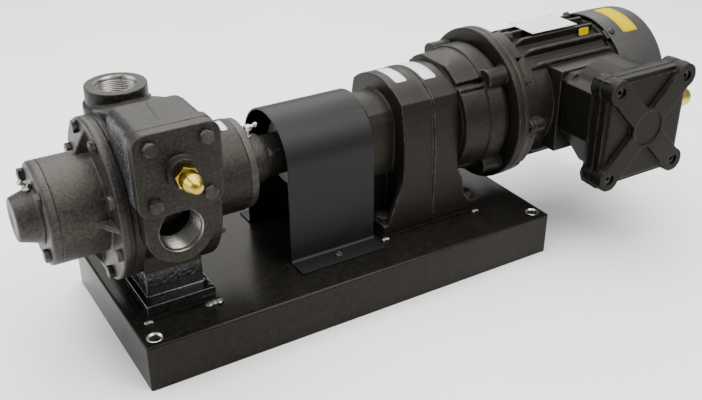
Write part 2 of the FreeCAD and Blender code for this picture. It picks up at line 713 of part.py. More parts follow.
def solids(name, shapes, x=0, z=0):
    """A sub-part whose solids are shaped by code from sizes in the sheet."""
    f = doc.addObject("Part::Feature", name)
    f.Label = name
    f.Shape = shapes[0] if len(shapes) == 1 else Part.makeCompound(shapes)
    x, z = dim(x), dim(z)
    f.Placement = Placement(Vector(x.v, 0, z.v), Rotation())
    for axis, value in (("x", x), ("z", z)):
        if bound(value):
            f.setExpression("Placement.Base." + axis, value.e)
    NODES.append(f)
    return f


def cell(alias):
    return float(sheet.get(alias))


def fitting(at, along):
    """A grease fitting: hexagon, neck and ball."""
    along = Vector(along)
    along.normalize()
    hexa = Part.Face(Part.makePolygon([Vector(4.6 * math.cos(math.radians(60 * i)), 4.6 * math.sin(math.radians(60 * i)), 0)
                                       for i in range(7)])).extrude(Vector(0, 0, 5))
    neck = Part.makeCylinder(2.4, 9.5)
    ball = Part.makeSphere(3.3, Vector(0, 0, 10.5))
    s = hexa.fuse(neck).fuse(ball)
    s.Placement = Placement(at, Rotation(Z, along))
    return s


px, ph = cell("pump_x"), cell("shaft_height")


def elbow(at):
    """An angled grease fitting: upright stem, square body, neck and ball towards the coupling."""
    s = Part.makeCylinder(2.9, 10).fuse(Part.makeBox(7.6, 7.6, 7.0, Vector(-3.8, -3.8, 8.0)))
    t = Part.makeCylinder(2.3, 8.0).fuse(Part.makeSphere(3.3, Vector(0, 0, 9.0)))
    t.Placement = Placement(Vector(2.5, 0, 11.5), Rotation(Z, Vector(1, 0, 0.22)))
    s = s.fuse(t)
    s.Placement = Placement(at, Rotation())
    return s


seat = Vector(px - 121.12, 0, ph + 31.72)
solids("grease_fittings", [
    fitting(seat, Vector(-5.3, 0, 6.6)),
    elbow(Vector(px + 129.0, 0, ph + cell("drive_boss_radius") - 0.4)),
])

# ---------------------------------------------------------------- relief valve
b = body("relief_valve_cover", S.pump_x, 0, H)
sk = sketch(b, "XZ_Plane", S.valve_joint)
poly(sk, arcpts)
pad(b, sk, S.valve_cover_thick)
sk = sketch(b, "XZ_Plane", vf)
circle(sk, 0, S.valve_z, 16.5)
pad(b, sk, 11)
sk = sketch(b, "XZ_Plane", S.valve_joint)
circle(sk, 0, S.valve_z, 24.0)
pocket(b, sk, 7, rev=True)
sk = sketch(b, "XZ_Plane", S.valve_joint)
circle(sk, 0, S.valve_z, 6.0)
pocket(b, sk, 30, rev=True)
sk = sketch(b, "XZ_Plane", vf + 1)
for sx, sy in corners:
    circle(sk, 29.0 * sx, S.valve_z + 30.5 * sy, 4.3)
pocket(b, sk, 16)
fillet(b, 2.4, lambda e: abs(e.BoundBox.YMin + vf.v) < 1e-4 and abs(e.BoundBox.YMax + vf.v) < 1e-4
       and max(abs(e.BoundBox.XMin), abs(e.BoundBox.XMax)) > 34 and not isinstance(e.Curve, Part.Circle))

VALVE = dict(x=S.pump_x, y=0, z=H + S.valve_z, turn=ALONG_MINUS_Y)
b = body("relief_valve_disc", **VALVE)
revolve(b, [(62.02, 0), (62.02, 18), (66, 18), (68, 16), (68, 6.2), (76, 6.2), (76, 0)])

b = body("relief_spring", **VALVE)
sk = sketch(b, "XY_Plane")
circle(sk, 69.9, 10.5, 1.7)
f = feature(b, "AdditiveHelix", "coil")
f.Profile = sk
f.ReferenceAxis = (sk, ["H_Axis"])
f.Mode = "pitch-height-angle"
f.Pitch = 6.2
f.Height = 24.8
f.Reversed = False
b.Tip = f

b = body("relief_adjusting_screw", **VALVE)
revolve(b, [(96.6, 0), (96.6, 14), (99.4, 14), (101, 11), (101, 5.95), (151, 5.95), (152, 5), (152, 0)])

# long brass acorn cap over the adjusting screw
b = body("relief_cap", **VALVE)
sk = sketch(b, "YZ_Plane", vf + 11)
hexagon(sk, 0, 0, 22.0, 15)
pad(b, sk, 9)
revolve(b, [(143, 0), (143, 10.6), (157.4, 10.6), (163, 8.4), (166.2, 7.4), (168.6, 5.8), (170.2, 3.4), (171, 1), (171, 0)])
groove(b, [(135, 0), (135, 7.4), (154, 7.4), (156, 5), (156, 0)])

# ---------------------------------------------------------------- coupling
b = body("pump_coupling_hub", 0, 0, H)
revolve(b, [(-74, 14.02), (-74, 23.8), (-72.8, S.hub_radius), (-46, S.hub_radius), (-46, S.jaw_radius - 1.2), (-44.8, S.jaw_radius),
            (-30, S.jaw_radius), (-30, 14.02)])


def jaw(b, sign, x0, a0, half, length, r0, r1):
    n = 6
    pts = [(r0 * math.cos(math.radians(a0 - half)), r0 * math.sin(math.radians(a0 - half)))]
    for i in range(n + 1):
        a = math.radians(a0 - half + 2 * half * i / n)
        pts.append((r1 * math.cos(a), r1 * math.sin(a)))
    for i in range(n + 1):
        a = math.radians(a0 + half - 2 * half * i / n)
        pts.append((r0 * math.cos(a), r0 * math.sin(a)))
    sk = sketch(b, "YZ_Plane", x0)
    poly(sk, pts[1:])
    return pad(b, sk, length, rev=(sign < 0))


polar(b, [jaw(b, 1, -30, 90, 19, 17.6, 18.0, 39.8)], 3)
sk = sketch(b, "XY_Plane", 17)
rect(sk, -75, -4, -51, 4)
pocket(b, sk, 6)
sk = radial(b, 55, 26)
circle(sk, -63, 0, 3.52)
pocket(b, sk, 12)

b = body("gearbox_coupling_hub", 0, 0, H)
revolve(b, [(-12, 14.02), (-12, S.jaw_radius), (2.8, S.jaw_radius), (4, S.jaw_radius - 1.2), (4, S.hub_radius), (32.8, S.hub_radius),
            (34, S.hub_radius - 1.2), (34, 14.02)])
polar(b, [jaw(b, -1, -12, 30, 19, 17.6, 18.0, 39.8)], 3)
sk = sketch(b, "XY_Plane", 17)
rect(sk, 8, -4, 35, 4)
pocket(b, sk, 6)
sk = radial(b, 55, 26)
circle(sk, 20, 0, 3.52)
pocket(b, sk, 12)

b = body("coupling_spider", 0, 0, H)
revolve(b, [(-29.8, 13.2), (-29.8, 17.6), (-12.2, 17.6), (-12.2, 13.2)])
polar(b, [jaw(b, 1, -29.8, 60, 10.4, 17.6, 16.0, 39.0)], 6)

b = body("shaft_keys", 0, 0, H)
for x0, x1 in ((-72.8, -51.2), (8.2, 29.8)):
    sk = sketch(b, "XY_Plane", 10.2)
    rect(sk, x0, -3.98, x1, 3.98)
    pad(b, sk, 6.7)

b = body("coupling_setscrews", 0, 0, H)
for x0 in (-63, 20):
    sk = radial(b, 55, 14.6)
    circle(sk, x0, 0, 3.5)
    pad(b, sk, 10.8)

# ---------------------------------------------------------------- guard
b = body("coupling_guard", S.guard_x, 0, H)
R, tk = S.guard_radius, S.guard_sheet
outer, inner = [], []
for i in range(33):
    a = math.pi * i / 32
    outer.append((R * math.cos(a), R * math.sin(a)))
    inner.append(((R - tk) * math.cos(a), (R - tk) * math.sin(a)))
zb = S.base_height - H          # plate level below the shaft
bend = []
for k in range(5):              # outer bend at the foot of the side wall
    a = math.radians(22.5 * k)
    bend.append((R + 4 - 4 * math.cos(a), zb + tk + 4 - 4 * math.sin(a)))
bend_in = []
for k in range(5):
    a = math.radians(22.5 * k)
    bend_in.append((R - tk + 6 - 6 * math.cos(a), zb + 6 - 6 * math.sin(a)))
right = bend + [(S.guard_flange, zb + tk), (S.guard_flange, zb)] + bend_in[::-1]
outline = right[:len(bend) + 2] + bend_in[::-1] + inner + [(-p[0], p[1]) for p in bend_in] \
    + [(-S.guard_flange, zb), (-S.guard_flange, zb + tk)] + [(-p[0], p[1]) for p in bend[::-1]] + outer[::-1]
sk = sketch(b, "YZ_Plane", -S.guard_half_length)
poly(sk, outline)
pad(b, sk, S.guard_half_length * 2)
sk = sketch(b, "XY_Plane", zb + 3)
for x, y in guard_screws:
    circle(sk, dim(x) - S.guard_x, y, 2.7)
pocket(b, sk, 4)

# pan-head screws: two hold the guard, four hold the fan cowl
def pan(at, along):
    along = Vector(along)
    along.normalize()
    s = Part.makeCylinder(4.6, 2.2).fuse(Part.makeCone(4.6, 3.0, 1.3, Vector(0, 0, 2.2)))
    s = s.cut(Part.makeBox(1.2, 8, 2, Vector(-0.6, -4, 2.4)))
    s = s.cut(Part.makeBox(8, 1.2, 2, Vector(-4, -0.6, 2.4)))
    s = s.fuse(Part.makeCylinder(2.45, 7, Vector(0, 0, -7)))
    s.Placement = Placement(at, Rotation(Z, along))
    return s


plate = cell("base_height")
screws = [pan(Vector(x, y, plate + cell("guard_sheet")), Z) for x, y in guard_screws]
for a in (30, 150, 210, 330):
    d = Vector(0, math.sin(math.radians(a)), math.cos(math.radians(a)))
    screws.append(pan(Vector(cell("motor_x") + cell("cowl_start") + 7, 0, ph) + d * (cell("cowl_radius") - 0.05), d))
solids("pan_head_screws", screws)

# ---------------------------------------------------------------- gear reducer
floor_z = S.base_height + S.pad_thick - H        # foot underside
foot_top = floor_z + S.gear_foot_thick
GX = S.gear_x
sides = [(58.5, 36), (61, 22), (63.2, 6), (S.side_half, -12), (S.side_half, floor_z)]
sides_in = [(51.3, 34), (54, 20), (56.2, 5), (S.side_half - S.gear_wall, -13), (S.side_half - S.gear_wall, -105)]
b = body("gearbox_front_housing", GX, 0, H)
sk = sketch(b, "YZ_Plane", S.gear_front)
crown(sk, S.arch_radius, S.arch_drop, S.ridge_half, sides)
pad(b, sk, -S.gear_front)
sk = sketch(b, "YZ_Plane", S.snout_front)
crown(sk, S.snout_radius, 0, S.snout_half, [(40.2, 24), (42.8, 8), (43.5, -8), (42.5, -28), (40, -44)])
pad(b, sk, S.gear_front - S.snout_front)
sk = sketch(b, "YZ_Plane", -70)
rect(sk, -28, floor_z + 2, 28, -36)
pad(b, sk, 27)
# sloping gussets down to the foot and the foot itself
for s in (-1, 1):
    sk = sketch(b, "XZ_Plane", S.side_half - 8 if s > 0 else -S.side_half)
    poly(sk, [(S.gear_front + 4, -40), (S.gear_front, -46), (-65, foot_top + 1), (-65, foot_top - 3), (S.gear_front + 4, foot_top - 3)])
    pad(b, sk, 8)
sk = sketch(b, "XY_Plane", floor_z)
rect(sk, -72, -S.gear_foot_half, 0, S.gear_foot_half)
pad(b, sk, S.gear_foot_thick)
# inside
sk = sketch(b, "YZ_Plane", 0)
crown(sk, S.arch_radius - S.gear_wall, S.arch_drop, S.ridge_half - S.gear_wall, sides_in)
pocket(b, sk, 37)
# bore of the output shaft bearings, oil seal and front wall
groove(b, [(-79, 0), (-79, S.gear_bearing_radius), (-36, S.gear_bearing_radius), (-36, 0)])
# layshaft bearing pocket: boss inside the front wall
sk = sketch(b, "YZ_Plane", S.gear_front + S.gear_wall)
circle(sk, 0, -S.centre_distance, 23)
pad(b, sk, 7)
sk = sketch(b, "YZ_Plane", -29)
circle(sk, 0, -S.centre_distance, 17.5)
pocket(b, sk, 12)
sk = sketch(b, "XY_Plane", foot_top + 1)
for x, y in gear_bolts[:2]:
    circle(sk, dim(x) - GX, y, S.foot_bolt_radius + 0.3)
pocket(b, sk, 15)

b = body("gearbox_rear_housing", GX, 0, H)
sk = sketch(b, "YZ_Plane", 0)
crown(sk, S.arch_radius, S.arch_drop, S.ridge_half, sides)
pad(b, sk, S.gear_back)
for s in (-1, 1):
    sk = sketch(b, "XZ_Plane", S.side_half - 8 if s > 0 else -S.side_half)
    poly(sk, [(S.gear_back - 4, -46), (S.gear_back, -50), (43.5, -60), (47, -66), (51, -90), (59, -102), (66, foot_top), (66, foot_top - 3), (S.gear_back - 4, foot_top - 3)])
    pad(b, sk, 8)
sk = sketch(b, "XY_Plane", floor_z)
rect(sk, 0, -S.gear_foot_half, 75, S.gear_foot_half)
pad(b, sk, S.gear_foot_thick)
sk = sketch(b, "YZ_Plane", 0)
crown(sk, S.arch_radius - S.gear_wall, S.arch_drop, S.ridge_half - S.gear_wall, sides_in)
pocket(b, sk, S.gear_back - S.gear_wall, rev=True)
# bearing bosses inside the rear wall
for z, r0, r1 in ((0, 30, 23.5), (-60, 23, 17.5)):
    sk = sketch(b, "YZ_Plane", S.gear_back - S.gear_wall)
    circle(sk, 0, z, r0)
    pad(b, sk, 7, rev=True)
    sk = sketch(b, "YZ_Plane", 23)
    circle(sk, 0, z, r1)
    pocket(b, sk, 16 if z == 0 else 12.6, rev=True)
# tapped holes of the level and drain plugs
sk = sketch(b, "XZ_Plane", -S.side_half - 1)
for z in (-88, -26):
    circle(sk, 20, z, 6.05)
pocket(b, sk, 12, rev=True)
# tapped holes for the lantern's bolts
sk = sketch(b, "YZ_Plane", S.gear_back + 1)
circle(sk, 58 * math.sin(math.radians(45)), 58 * math.cos(math.radians(45)), 4.0)
polar(b, [pocket(b, sk, 7.9)], 4)
sk = sketch(b, "XY_Plane", foot_top + 1)
for x, y in gear_bolts[2:]:
    circle(sk, dim(x) - GX, y, S.foot_bolt_radius + 0.3)
pocket(b, sk, 15)


def involute(teeth, module, x0, width, turn, thin):
    """Spur gear about +X: involute flanks, thinned by `thin` mm for backlash."""
    rp = teeth * module / 2.0
    rb, ra, rf = rp * math.cos(math.radians(20)), rp + 0.92 * module, rp - 1.2 * module
    inv20 = math.tan(math.radians(20)) - math.radians(20)
    half = math.pi / (2 * teeth) - thin / (2 * rp)

    def flank(r):
        if r <= rb:
            return half + inv20
        t = math.acos(rb / r)
        return half + inv20 - (math.tan(t) - t)

    radii = [rf] + [max(rb, rf + 0.05) + (ra - max(rb, rf + 0.05)) * i / 5.0 for i in range(6)]
    pts = []
    for k in range(teeth):
        c = 2 * math.pi * k / teeth + math.radians(turn)
        for r in radii:
            pts.append((r, c - flank(r)))
        for r in radii[::-1]:
            pts.append((r, c + flank(r)))
    vs = [Vector(x0, r * math.sin(a), r * math.cos(a)) for r, a in pts]
    vs.append(vs[0])
    return Part.Face(Part.makePolygon(vs)).extrude(Vector(width, 0, 0))


m = cell("gear_module")
z1, z2, z3, z4 = [int(cell(k)) for k in ("motor_pinion_teeth", "wheel_teeth", "lay_pinion_teeth", "output_teeth")]
THIN = 0.16
# output wheel above, layshaft pinion below: a tooth of one points into a gap of the other
gear4 = involute(z4, m, -28, 18, 180, THIN)
gear4 = gear4.cut(Part.makeCylinder(cell("output_radius"), 40, Vector(-40, 0, 0), X))
solids("output_gear", [gear4], GX, H)
gear3 = involute(z3, m, -30, 22, 180.0 / z3, THIN)
shaft = Part.makeCylinder(7.5, 75.5, Vector(-40.5, 0, 0), X).fuse(Part.makeCylinder(10, 36, Vector(-29, 0, 0), X))
shaft = shaft.fuse(Part.makeCylinder(7.6, 10, Vector(25, 0, 0), X)).fuse(gear3)
solids("layshaft_pinion", [shaft], GX, H - S.centre_distance)
gear2 = involute(z2, m, 8, 16, 0, THIN)
gear2 = gear2.cut(Part.makeCylinder(7.5, 40, Vector(0, 0, 0), X))
solids("layshaft_gear", [gear2], GX, H - S.centre_distance)
gear1 = involute(z1, m, 7, 18, 180 + 180.0 / z1, THIN)
inp = Part.makeCylinder(12, 40, Vector(25, 0, 0), X).fuse(Part.makeCylinder(21, 50, Vector(58, 0, 0), X))
inp = inp.fuse(gear1).cut(Part.makeCylinder(cell("motor_shaft_radius") + 0.02, 60, Vector(63, 0, 0), X))
solids("input_pinion_shaft", [inp], GX, H)

b = body("gearbox_output_shaft", GX, 0, H)
r = S.output_radius
revolve(b, [(-142, 0), (-142, r - 1), (-141, r), (-31, r), (-31, 17), (-28.2, 17), (-28.2, r), (-9, r), (-9, 0)])
sk = sketch(b, "XY_Plane", 16)
rect(sk, 8 - 130, -4, 30 - 130, 4)
pocket(b, sk, 6)

# level and drain plugs in the reducer's far side
b = body("oil_plugs", GX, 0, H)
for z in (-88, -26):
    sk = sketch(b, "XZ_Plane", -S.side_half - 0.05)
    hexagon(sk, 20, z, 14.0)
    pad(b, sk, 5, rev=True)
    sk = sketch(b, "XZ_Plane", -S.side_half - 1)
    circle(sk, 20, z, 6.0)
    pad(b, sk, 8)

# ---------------------------------------------------------------- lantern
# Motor-side bodies are drawn about the mating face of the two flanges.
MX = S.motor_x
LR = S.lantern_radius
b = body("adapter_lantern", MX, 0, H)
revolve(b, [(-75, 24), (-75, 70), (-73.7, 70), (-73.7, 76.6), (-72.8, 77.6), (-38.4, 79.0), (-38.4, LR),
            (-17, LR + 1.6), (-14.6, LR), (-14.6, 77), (-9, 77), (-9, S.motor_flange_radius - 1.2), (-7.8, S.motor_flange_radius),
            (0, S.motor_flange_radius), (0, 65.02), (-5, 65.02), (-5, 66), (-69, 66), (-69, 24)])
ys, yc = S.flange_bolt_circle * math.sin(math.radians(45)), S.flange_bolt_circle * math.cos(math.radians(45))
sk = sketch(b, "YZ_Plane", -37)
circle(sk, ys, yc, 12.5)
boss = pad(b, sk, 29)
polar(b, [boss], 4)
# flattened crown at the reducer's end, long channels in line with the four bolts
sk = sketch(b, "XZ_Plane", 60)
poly(sk, [(-76, 71.8), (-76, 90), (-50, 90), (-50, 78.6)])
pocket(b, sk, 120)
sk = sketch(b, "YZ_Plane", -76)
sector(sk, 71.5, 90, 41.3, 46.3)
polar(b, [pocket(b, sk, 39, rev=True)], 4)
sk = sketch(b, "YZ_Plane", -76)
sector(sk, 74.5, 90, 49.8, 52.2)
polar(b, [pocket(b, sk, 37.6, rev=True)], 4)
sk = sketch(b, "YZ_Plane", 1)
circle(sk, ys, yc, 5.0)
polar(b, [pocket(b, sk, 33)], 4)
sk = sketch(b, "YZ_Plane", -76)
circle(sk, 58 * math.sin(math.radians(45)), 58 * math.cos(math.radians(45)), 4.3)
polar(b, [pocket(b, sk, 8, rev=True)], 4)

# ---------------------------------------------------------------- motor
b = body("motor_drive_shield", MX, 0, H)
FR = S.motor_flange_radius
revolve(b, [(-3.5, 12.8), (-3.5, 64.98), (0, 64.98), (0, FR), (7, FR), (8, FR - 1), (19.8, FR - 1), (21.2, FR - 3), (21.2, 84), (25.2, 84),
            (26, 83), (26, 69.98), (30, 69.98), (30, 64), (20, 64), (20, 36), (22, 34), (22, 26.02), (6, 26.02), (6, 12.8)])
# rooms round the flange bolts' heads, each with a slit in the rim
sk = sketch(b, "YZ_Plane", 8)
sector(sk, 73, 93, 34, 56)
polar(b, [pocket(b, sk, 11, rev=True)], 4)
sk = radial(b, 39, 102)
rect(sk, 9, -2.5, 23, 2.5)
polar(b, [pocket(b, sk, 12)], 4)
# four wide windows open towards the frame
sk = sketch(b, "YZ_Plane", 8.5)
sector(sk, 84, 104, 58, 98)
polar(b, [pocket(b, sk, 19, rev=True)], 4)
# lugs of the long screws into the frame
S_Y, S_Z = 84 * math.sin(math.radians(-6)), 84 * math.cos(math.radians(6))
sk = sketch(b, "YZ_Plane", 19)
circle(sk, S_Y, S_Z, 8.5)
polar(b, [pad(b, sk, 7)], 4)
sk = sketch(b, "YZ_Plane", 8.5)
circle(sk, S_Y, S_Z, 7.4)
polar(b, [pocket(b, sk, 10.5, rev=True)], 4)
sk = sketch(b, "YZ_Plane", -1)
circle(sk, ys, yc, 5.4)
polar(b, [pocket(b, sk, 10, rev=True)], 4)
sk = sketch(b, "YZ_Plane", 17)
circle(sk, S_Y, S_Z, 4.1)
polar(b, [pocket(b, sk, 12, rev=True)], 4)

fs, fe = S.frame_start, S.frame_end
b = body("motor_frame", MX, 0, H)
sk = sketch(b, "YZ_Plane", fs)
circle(sk, 0, 0, S.frame_radius)
pad(b, sk, fe - fs)
sk = sketch(b, "YZ_Plane", fs)          # thick collar for the shield's screws
circle(sk, 0, 0, 79.5)
pad(b, sk, 15)
sk = sketch(b, "YZ_Plane", fs)
circle(sk, S_Y, S_Z, 8.5)
polar(b, [pad(b, sk, 16)], 4)


def fin(angle):
    sk = sketch(b, "XZ_Plane")
    # the fin's mid-plane contains the shaft axis and leaves it at this angle
    sk.AttachmentOffset = Placement(Vector(), Rotation(Vector(1, 0, 0), angle)).multiply(
        Placement(Vector(0, 0, -2.2), Rotation()))
    poly(sk, [(42, 74), (42, 77.5), (45, 81.5), (49, 85), (54, S.fin_radius), (174, S.fin_radius), (176, 85), (176, 74)])
    return pad(b, sk, 4.4)


polar(b, [fin(-151)], 14, angle=195)    # over the far side and the top, up to the terminal box
polar(b, [fin(134)], 5, angle=60)       # below the terminal box
# pad under the name plate, feet-side rib, terminal box pad
sk = sketch(b, "XY_Plane", 60)
rect(sk, 79, -12, 138, 20)
pad(b, sk, 27.05)
sk = sketch(b, "XZ_Plane", 40)
rect(sk, 68, -56, 176, 56)
pad(b, sk, 44)
sk = sketch(b, "YZ_Plane", fs - 1)
circle(sk, 0, 0, 70.02)
pocket(b, sk, fe - fs + 2, rev=True)
sk = sketch(b, "XZ_Plane", 86)
circle(sk, S.box_x, 0, 15)
pocket(b, sk, 30)
sk = sketch(b, "YZ_Plane", fs - 1)
circle(sk, S_Y, S_Z, 3.5)
polar(b, [pocket(b, sk, 9, rev=True)], 4)

b = body("stator_core", MX, 0, H)
sk = sketch(b, "YZ_Plane", 52)
circle(sk, 0, 0, 70.0)
circle(sk, 0, 0, 42)
pad(b, sk, 88)
sk = sketch(b, "YZ_Plane", 51)
rect(sk, -4, 44.5, 4, 58)
polar(b, [pocket(b, sk, 90, rev=True)], 12)

b = body("stator_windings", MX, 0, H)
for x0, x1, c in ((34, 50, 2), (142, 158, 2)):
    revolve(b, [(x0, 47), (x0 + 3, 44.5), (x1 - 3, 44.5), (x1, 47), (x1, 56), (x1 - 3, 60), (x0 + 3, 60), (x0, 56)])
sk = sketch(b, "YZ_Plane", 48)
rect(sk, -3.8, 45, 3.8, 57.6)
polar(b, [pad(b, sk, 96)], 12)

b = body("motor_rotor_shaft", MX, 0, H)
revolve(b, [(-50, 0), (-50, 11), (-49, S.motor_shaft_radius), (4, S.motor_shaft_radius), (5.4, 12.45), (22, 12.45), (22, 17), (48, 17),
            (48, 41.5), (144, 41.5), (144, 17), (181, 17), (181, 12.45), (197.5, 12.45), (197.5, 9), (232, 9), (232, 0)])

b = body("motor_rear_shield", MX, 0, H)
revolve(b, [(176, 64), (176, 69.98), (fe, 69.98), (fe, 80), (187, 80), (187, 36), (200, 36), (200, 12.8), (197, 12.8), (197, 26.02),
            (178, 26.02), (178, 64)])
for a in (30, 150, 210, 330):
    sk = sketch(b, "XZ_Plane")
    sk.AttachmentOffset = Placement(Vector(), Rotation(Vector(1, 0, 0), a)).multiply(Placement(Vector(0, 0, -7), Rotation()))
    poly(sk, [(fe + 0.2, 72), (fe + 0.2, 84), (183, 86.0), (196, 86.0), (196, 79), (187, 72)])
    pad(b, sk, 14)
    sk = radial(b, a, 90)
    circle(sk, S.cowl_start + 7, 0, 2.5)
    pocket(b, sk, 14)

b = body("cooling_fan", MX, 0, H)
revolve(b, [(206, 9.02), (206, 74), (208.6, 74), (208.6, 19), (228, 18), (228, 9.02)])
sk = sketch(b, "XZ_Plane", -1.3)
poly(sk, [(207, 17), (207, 74), (226, 74), (230, 70), (230, 40), (226, 17)])
polar(b, [pad(b, sk, 2.6)], 9)

cs, ce = S.cowl_start, S.cowl_end
b = body("fan_cowl", MX, 0, H)
revolve(b, [(cs, 86.6), (cs, S.cowl_radius), (ce - 9, S.cowl_radius - 1.2), (ce - 4, S.cowl_radius - 3), (ce - 1, S.cowl_radius - 7),
            (ce, S.cowl_radius - 12), (ce, 0), (ce - 1.6, 0), (ce - 1.6, S.cowl_radius - 12.4), (ce - 2.6, S.cowl_radius - 8),
            (ce - 5, S.cowl_radius - 4.8), (ce - 9, S.cowl_radius - 2.8)])
sk = sketch(b, "YZ_Plane", ce + 1)
rect(sk, -1.9, 24, 1.9, 44)
f1 = pocket(b, sk, 4)
polar(b, [f1], 18)
sk = sketch(b, "YZ_Plane", ce + 1)
rect(sk, -1.9, 48, 1.9, 68)
f1 = pocket(b, sk, 4)
polar(b, [f1], 30)
for a in (30, 150, 210, 330):
    sk = radial(b, a, 92)
    circle(sk, cs + 7, 0, 2.7)
    pocket(b, sk, 8)

b = body("motor_nameplate", MX, 0, H)
sk = sketch(b, "XY_Plane", 87.05)
rect(sk, 70, -21, 147, 29)
pad(b, sk, 0.8)

# deep-groove and roller bearings that stay with the housings
b = body("rolling_bearings", MX, 0, H)
PB = S.pump_x - MX
GB = GX - MX
for x0, r1, r0, wd in ((PB - 101.5, S.bearing_bore - 0.01, 31.1, 19.5), (PB + 82, S.bearing_bore - 0.01, 31.1, 19.5),
                       (GB - 66, 23.48, 14.05, 13), (GB - 49, 23.48, 14.05, 13), (GB + 26, 23.48, 12.05, 11.8),
                       (6.2, 26.0, 12.5, 15), (181.4, 26.0, 12.5, 15)):
    sk = sketch(b, "YZ_Plane", x0)
    circle(sk, 0, 0, r1)
    circle(sk, 0, 0, r0)
    pad(b, sk, wd)
for x0, r1, r0, wd in ((GB - 41, 17.48, 7.55, 10), (GB + 26, 17.48, 7.65, 8.8)):
    sk = sketch(b, "YZ_Plane", x0)
    circle(sk, 0, -S.centre_distance, r1)
    circle(sk, 0, -S.centre_distance, r0)
    pad(b, sk, wd)

# ---------------------------------------------------------------- terminal box
BX = MX + S.box_x
b = body("terminal_box", BX, 0, H)
jx, jz = S.box_hole_x / 2, S.box_hole_z / 2
dome = [(-65, 46)] + [(69 * math.sin(math.radians(t)), 69 * math.cos(math.radians(t))) for t in (-44, -36, -27, -18, -9, 0, 9, 18, 27, 36, 44)] + [(65, 46)]
sk = sketch(b, "XZ_Plane", 94)
poly(sk, dome + [(65, -18), (26, -72), (-26, -72), (-65, -18)])
pad(b, sk, S.box_joint - 94)
sk = sketch(b, "XZ_Plane", 84)
poly(sk, [(-62, 46), (-50, 54), (44, 54), (44, -50), (26, -56), (-26, -56), (-62, -18)])
pad(b, sk, 12)


def lobed(b, y0, depth):
    sk = sketch(b, "XZ_Plane", y0)
    rect(sk, -68.5, -71, 68.5, 71)
    pad(b, sk, depth)
    for sx, sy in corners:
        sk = sketch(b, "XZ_Plane", y0)
        circle(sk, jx * sx, jz * sy, 16)
        pad(b, sk, depth)


lobed(b, S.box_joint, 10)
sk = sketch(b, "XZ_Plane", S.box_joint + 11)
circle(sk, 0, 0, 52)
pocket(b, sk, 61)
sk = sketch(b, "XZ_Plane", 102)
circle(sk, 0, 0, 15)
pocket(b, sk, 20)
sk = sketch(b, "YZ_Plane", 66)
circle(sk, -134, 3, 10.05)
pocket(b, sk, 20)
sk = sketch(b, "XZ_Plane", S.box_joint + 11)
for sx, sy in corners:
    circle(sk, jx * sx, jz * sy, 4.0)
pocket(b, sk, 21)

b = body("terminal_box_cover", BX, 0, H)
lobed(b, S.box_joint + 10.05, 10)
ym = S.box_joint + 20
sk = sketch(b, "XZ_Plane", ym)          # raised panel inside the edge
rect(sk, -63, -65.5, 63, 65.5)
pad(b, sk, 3.6)
for sx, sy in corners:
    sk = sketch(b, "XZ_Plane", ym)
    circle(sk, jx * sx, jz * sy, 16)
    pad(b, sk, S.box_front - ym)
for s in (-1, 1):                       # two crossing arms
    d = Vector(56 * s, 58, 0)
    d.normalize()
    n = Vector(-d.y, d.x, 0) * 14.5
    e = Vector(56 * s, 58, 0)
    sk = sketch(b, "XZ_Plane", ym)
    poly(sk, [((-e + n).x, (-e + n).y), ((-e - n).x, (-e - n).y), ((e - n).x, (e - n).y), ((e + n).x, (e + n).y)])
    pad(b, sk, S.box_front - ym)
sk = sketch(b, "XZ_Plane", ym)
circle(sk, 0, 0, 26)
pad(b, sk, S.box_front - ym)
sk = sketch(b, "XZ_Plane", S.box_front + 1)
circle(sk, 0, 0, 23)
pocket(b, sk, 2.6)
sk = sketch(b, "XZ_Plane", S.box_joint + 10)
circle(sk, 0, 0, 50)
pocket(b, sk, 5, rev=True)
sk = sketch(b, "XZ_Plane", S.box_front + 1)
for sx, sy in corners:
    circle(sk, jx * sx, jz * sy, 4.3)
pocket(b, sk, 40)
sk = sketch(b, "XZ_Plane", S.box_front + 1)
for sx, sy in corners:
    circle(sk, jx * sx, jz * sy, 7.0)
pocket(b, sk, 12)

# bolts of the two flanges, screws of the drive shield and of the terminal cover
b = body("motor_fasteners", MX, 0, H)
feats = []
sk = sketch(b, "YZ_Plane", 8.05)
hexagon(sk, ys, yc, 16.0, 15)
feats.append(pad(b, sk, 6.4))
sk = sketch(b, "YZ_Plane", 8.05)
circle(sk, ys, yc, 5.0)
feats.append(pad(b, sk, 36, rev=True))
k = 58 * math.sin(math.radians(45))
sk = sketch(b, "YZ_Plane", -68.95)
hexagon(sk, k, k, 13.0, 15)
feats.append(pad(b, sk, 5.3))
sk = sketch(b, "YZ_Plane", -68.95)
circle(sk, k, k, 4.0)
feats.append(pad(b, sk, 12, rev=True))
polar(b, feats, 4)
feats = []
sk = sketch(b, "YZ_Plane", 19)
circle(sk, S_Y, S_Z, 3.5)
feats.append(pad(b, sk, 14))
sk = sketch(b, "YZ_Plane", 14)
hexagon(sk, S_Y, S_Z, 11.0, 10)
feats.append(pad(b, sk, 5))
polar(b, feats, 4)
sk = sketch(b, "XZ_Plane", S.box_front - 11 + 0.05)
for sx, sy in corners:
    circle(sk, S.box_x + jx * sx, jz * sy, 6.4)
pad(b, sk, 7)
sk = sketch(b, "XZ_Plane", S.box_front - 11 + 0.05)
for sx, sy in corners:
    circle(sk, S.box_x + jx * sx, jz * sy, 3.95)
pad(b, sk, 28, rev=True)
sk = sketch(b, "XZ_Plane", S.box_front)
for sx, sy in corners:
    hexagon(sk, S.box_x + jx * sx, jz * sy, 6.0)
pocket(b, sk, 8)

b = body("terminal_block", BX, 0, H)
sk = sketch(b, "XZ_Plane", 100.05)
rect(sk, -30, 17, 30, 37)
pad(b, sk, 12)
for x0 in (-20, 0, 20):
    sk = sketch(b, "XZ_Plane", 112)
    circle(sk, x0, 27, 3.0)
    pad(b, sk, 12)

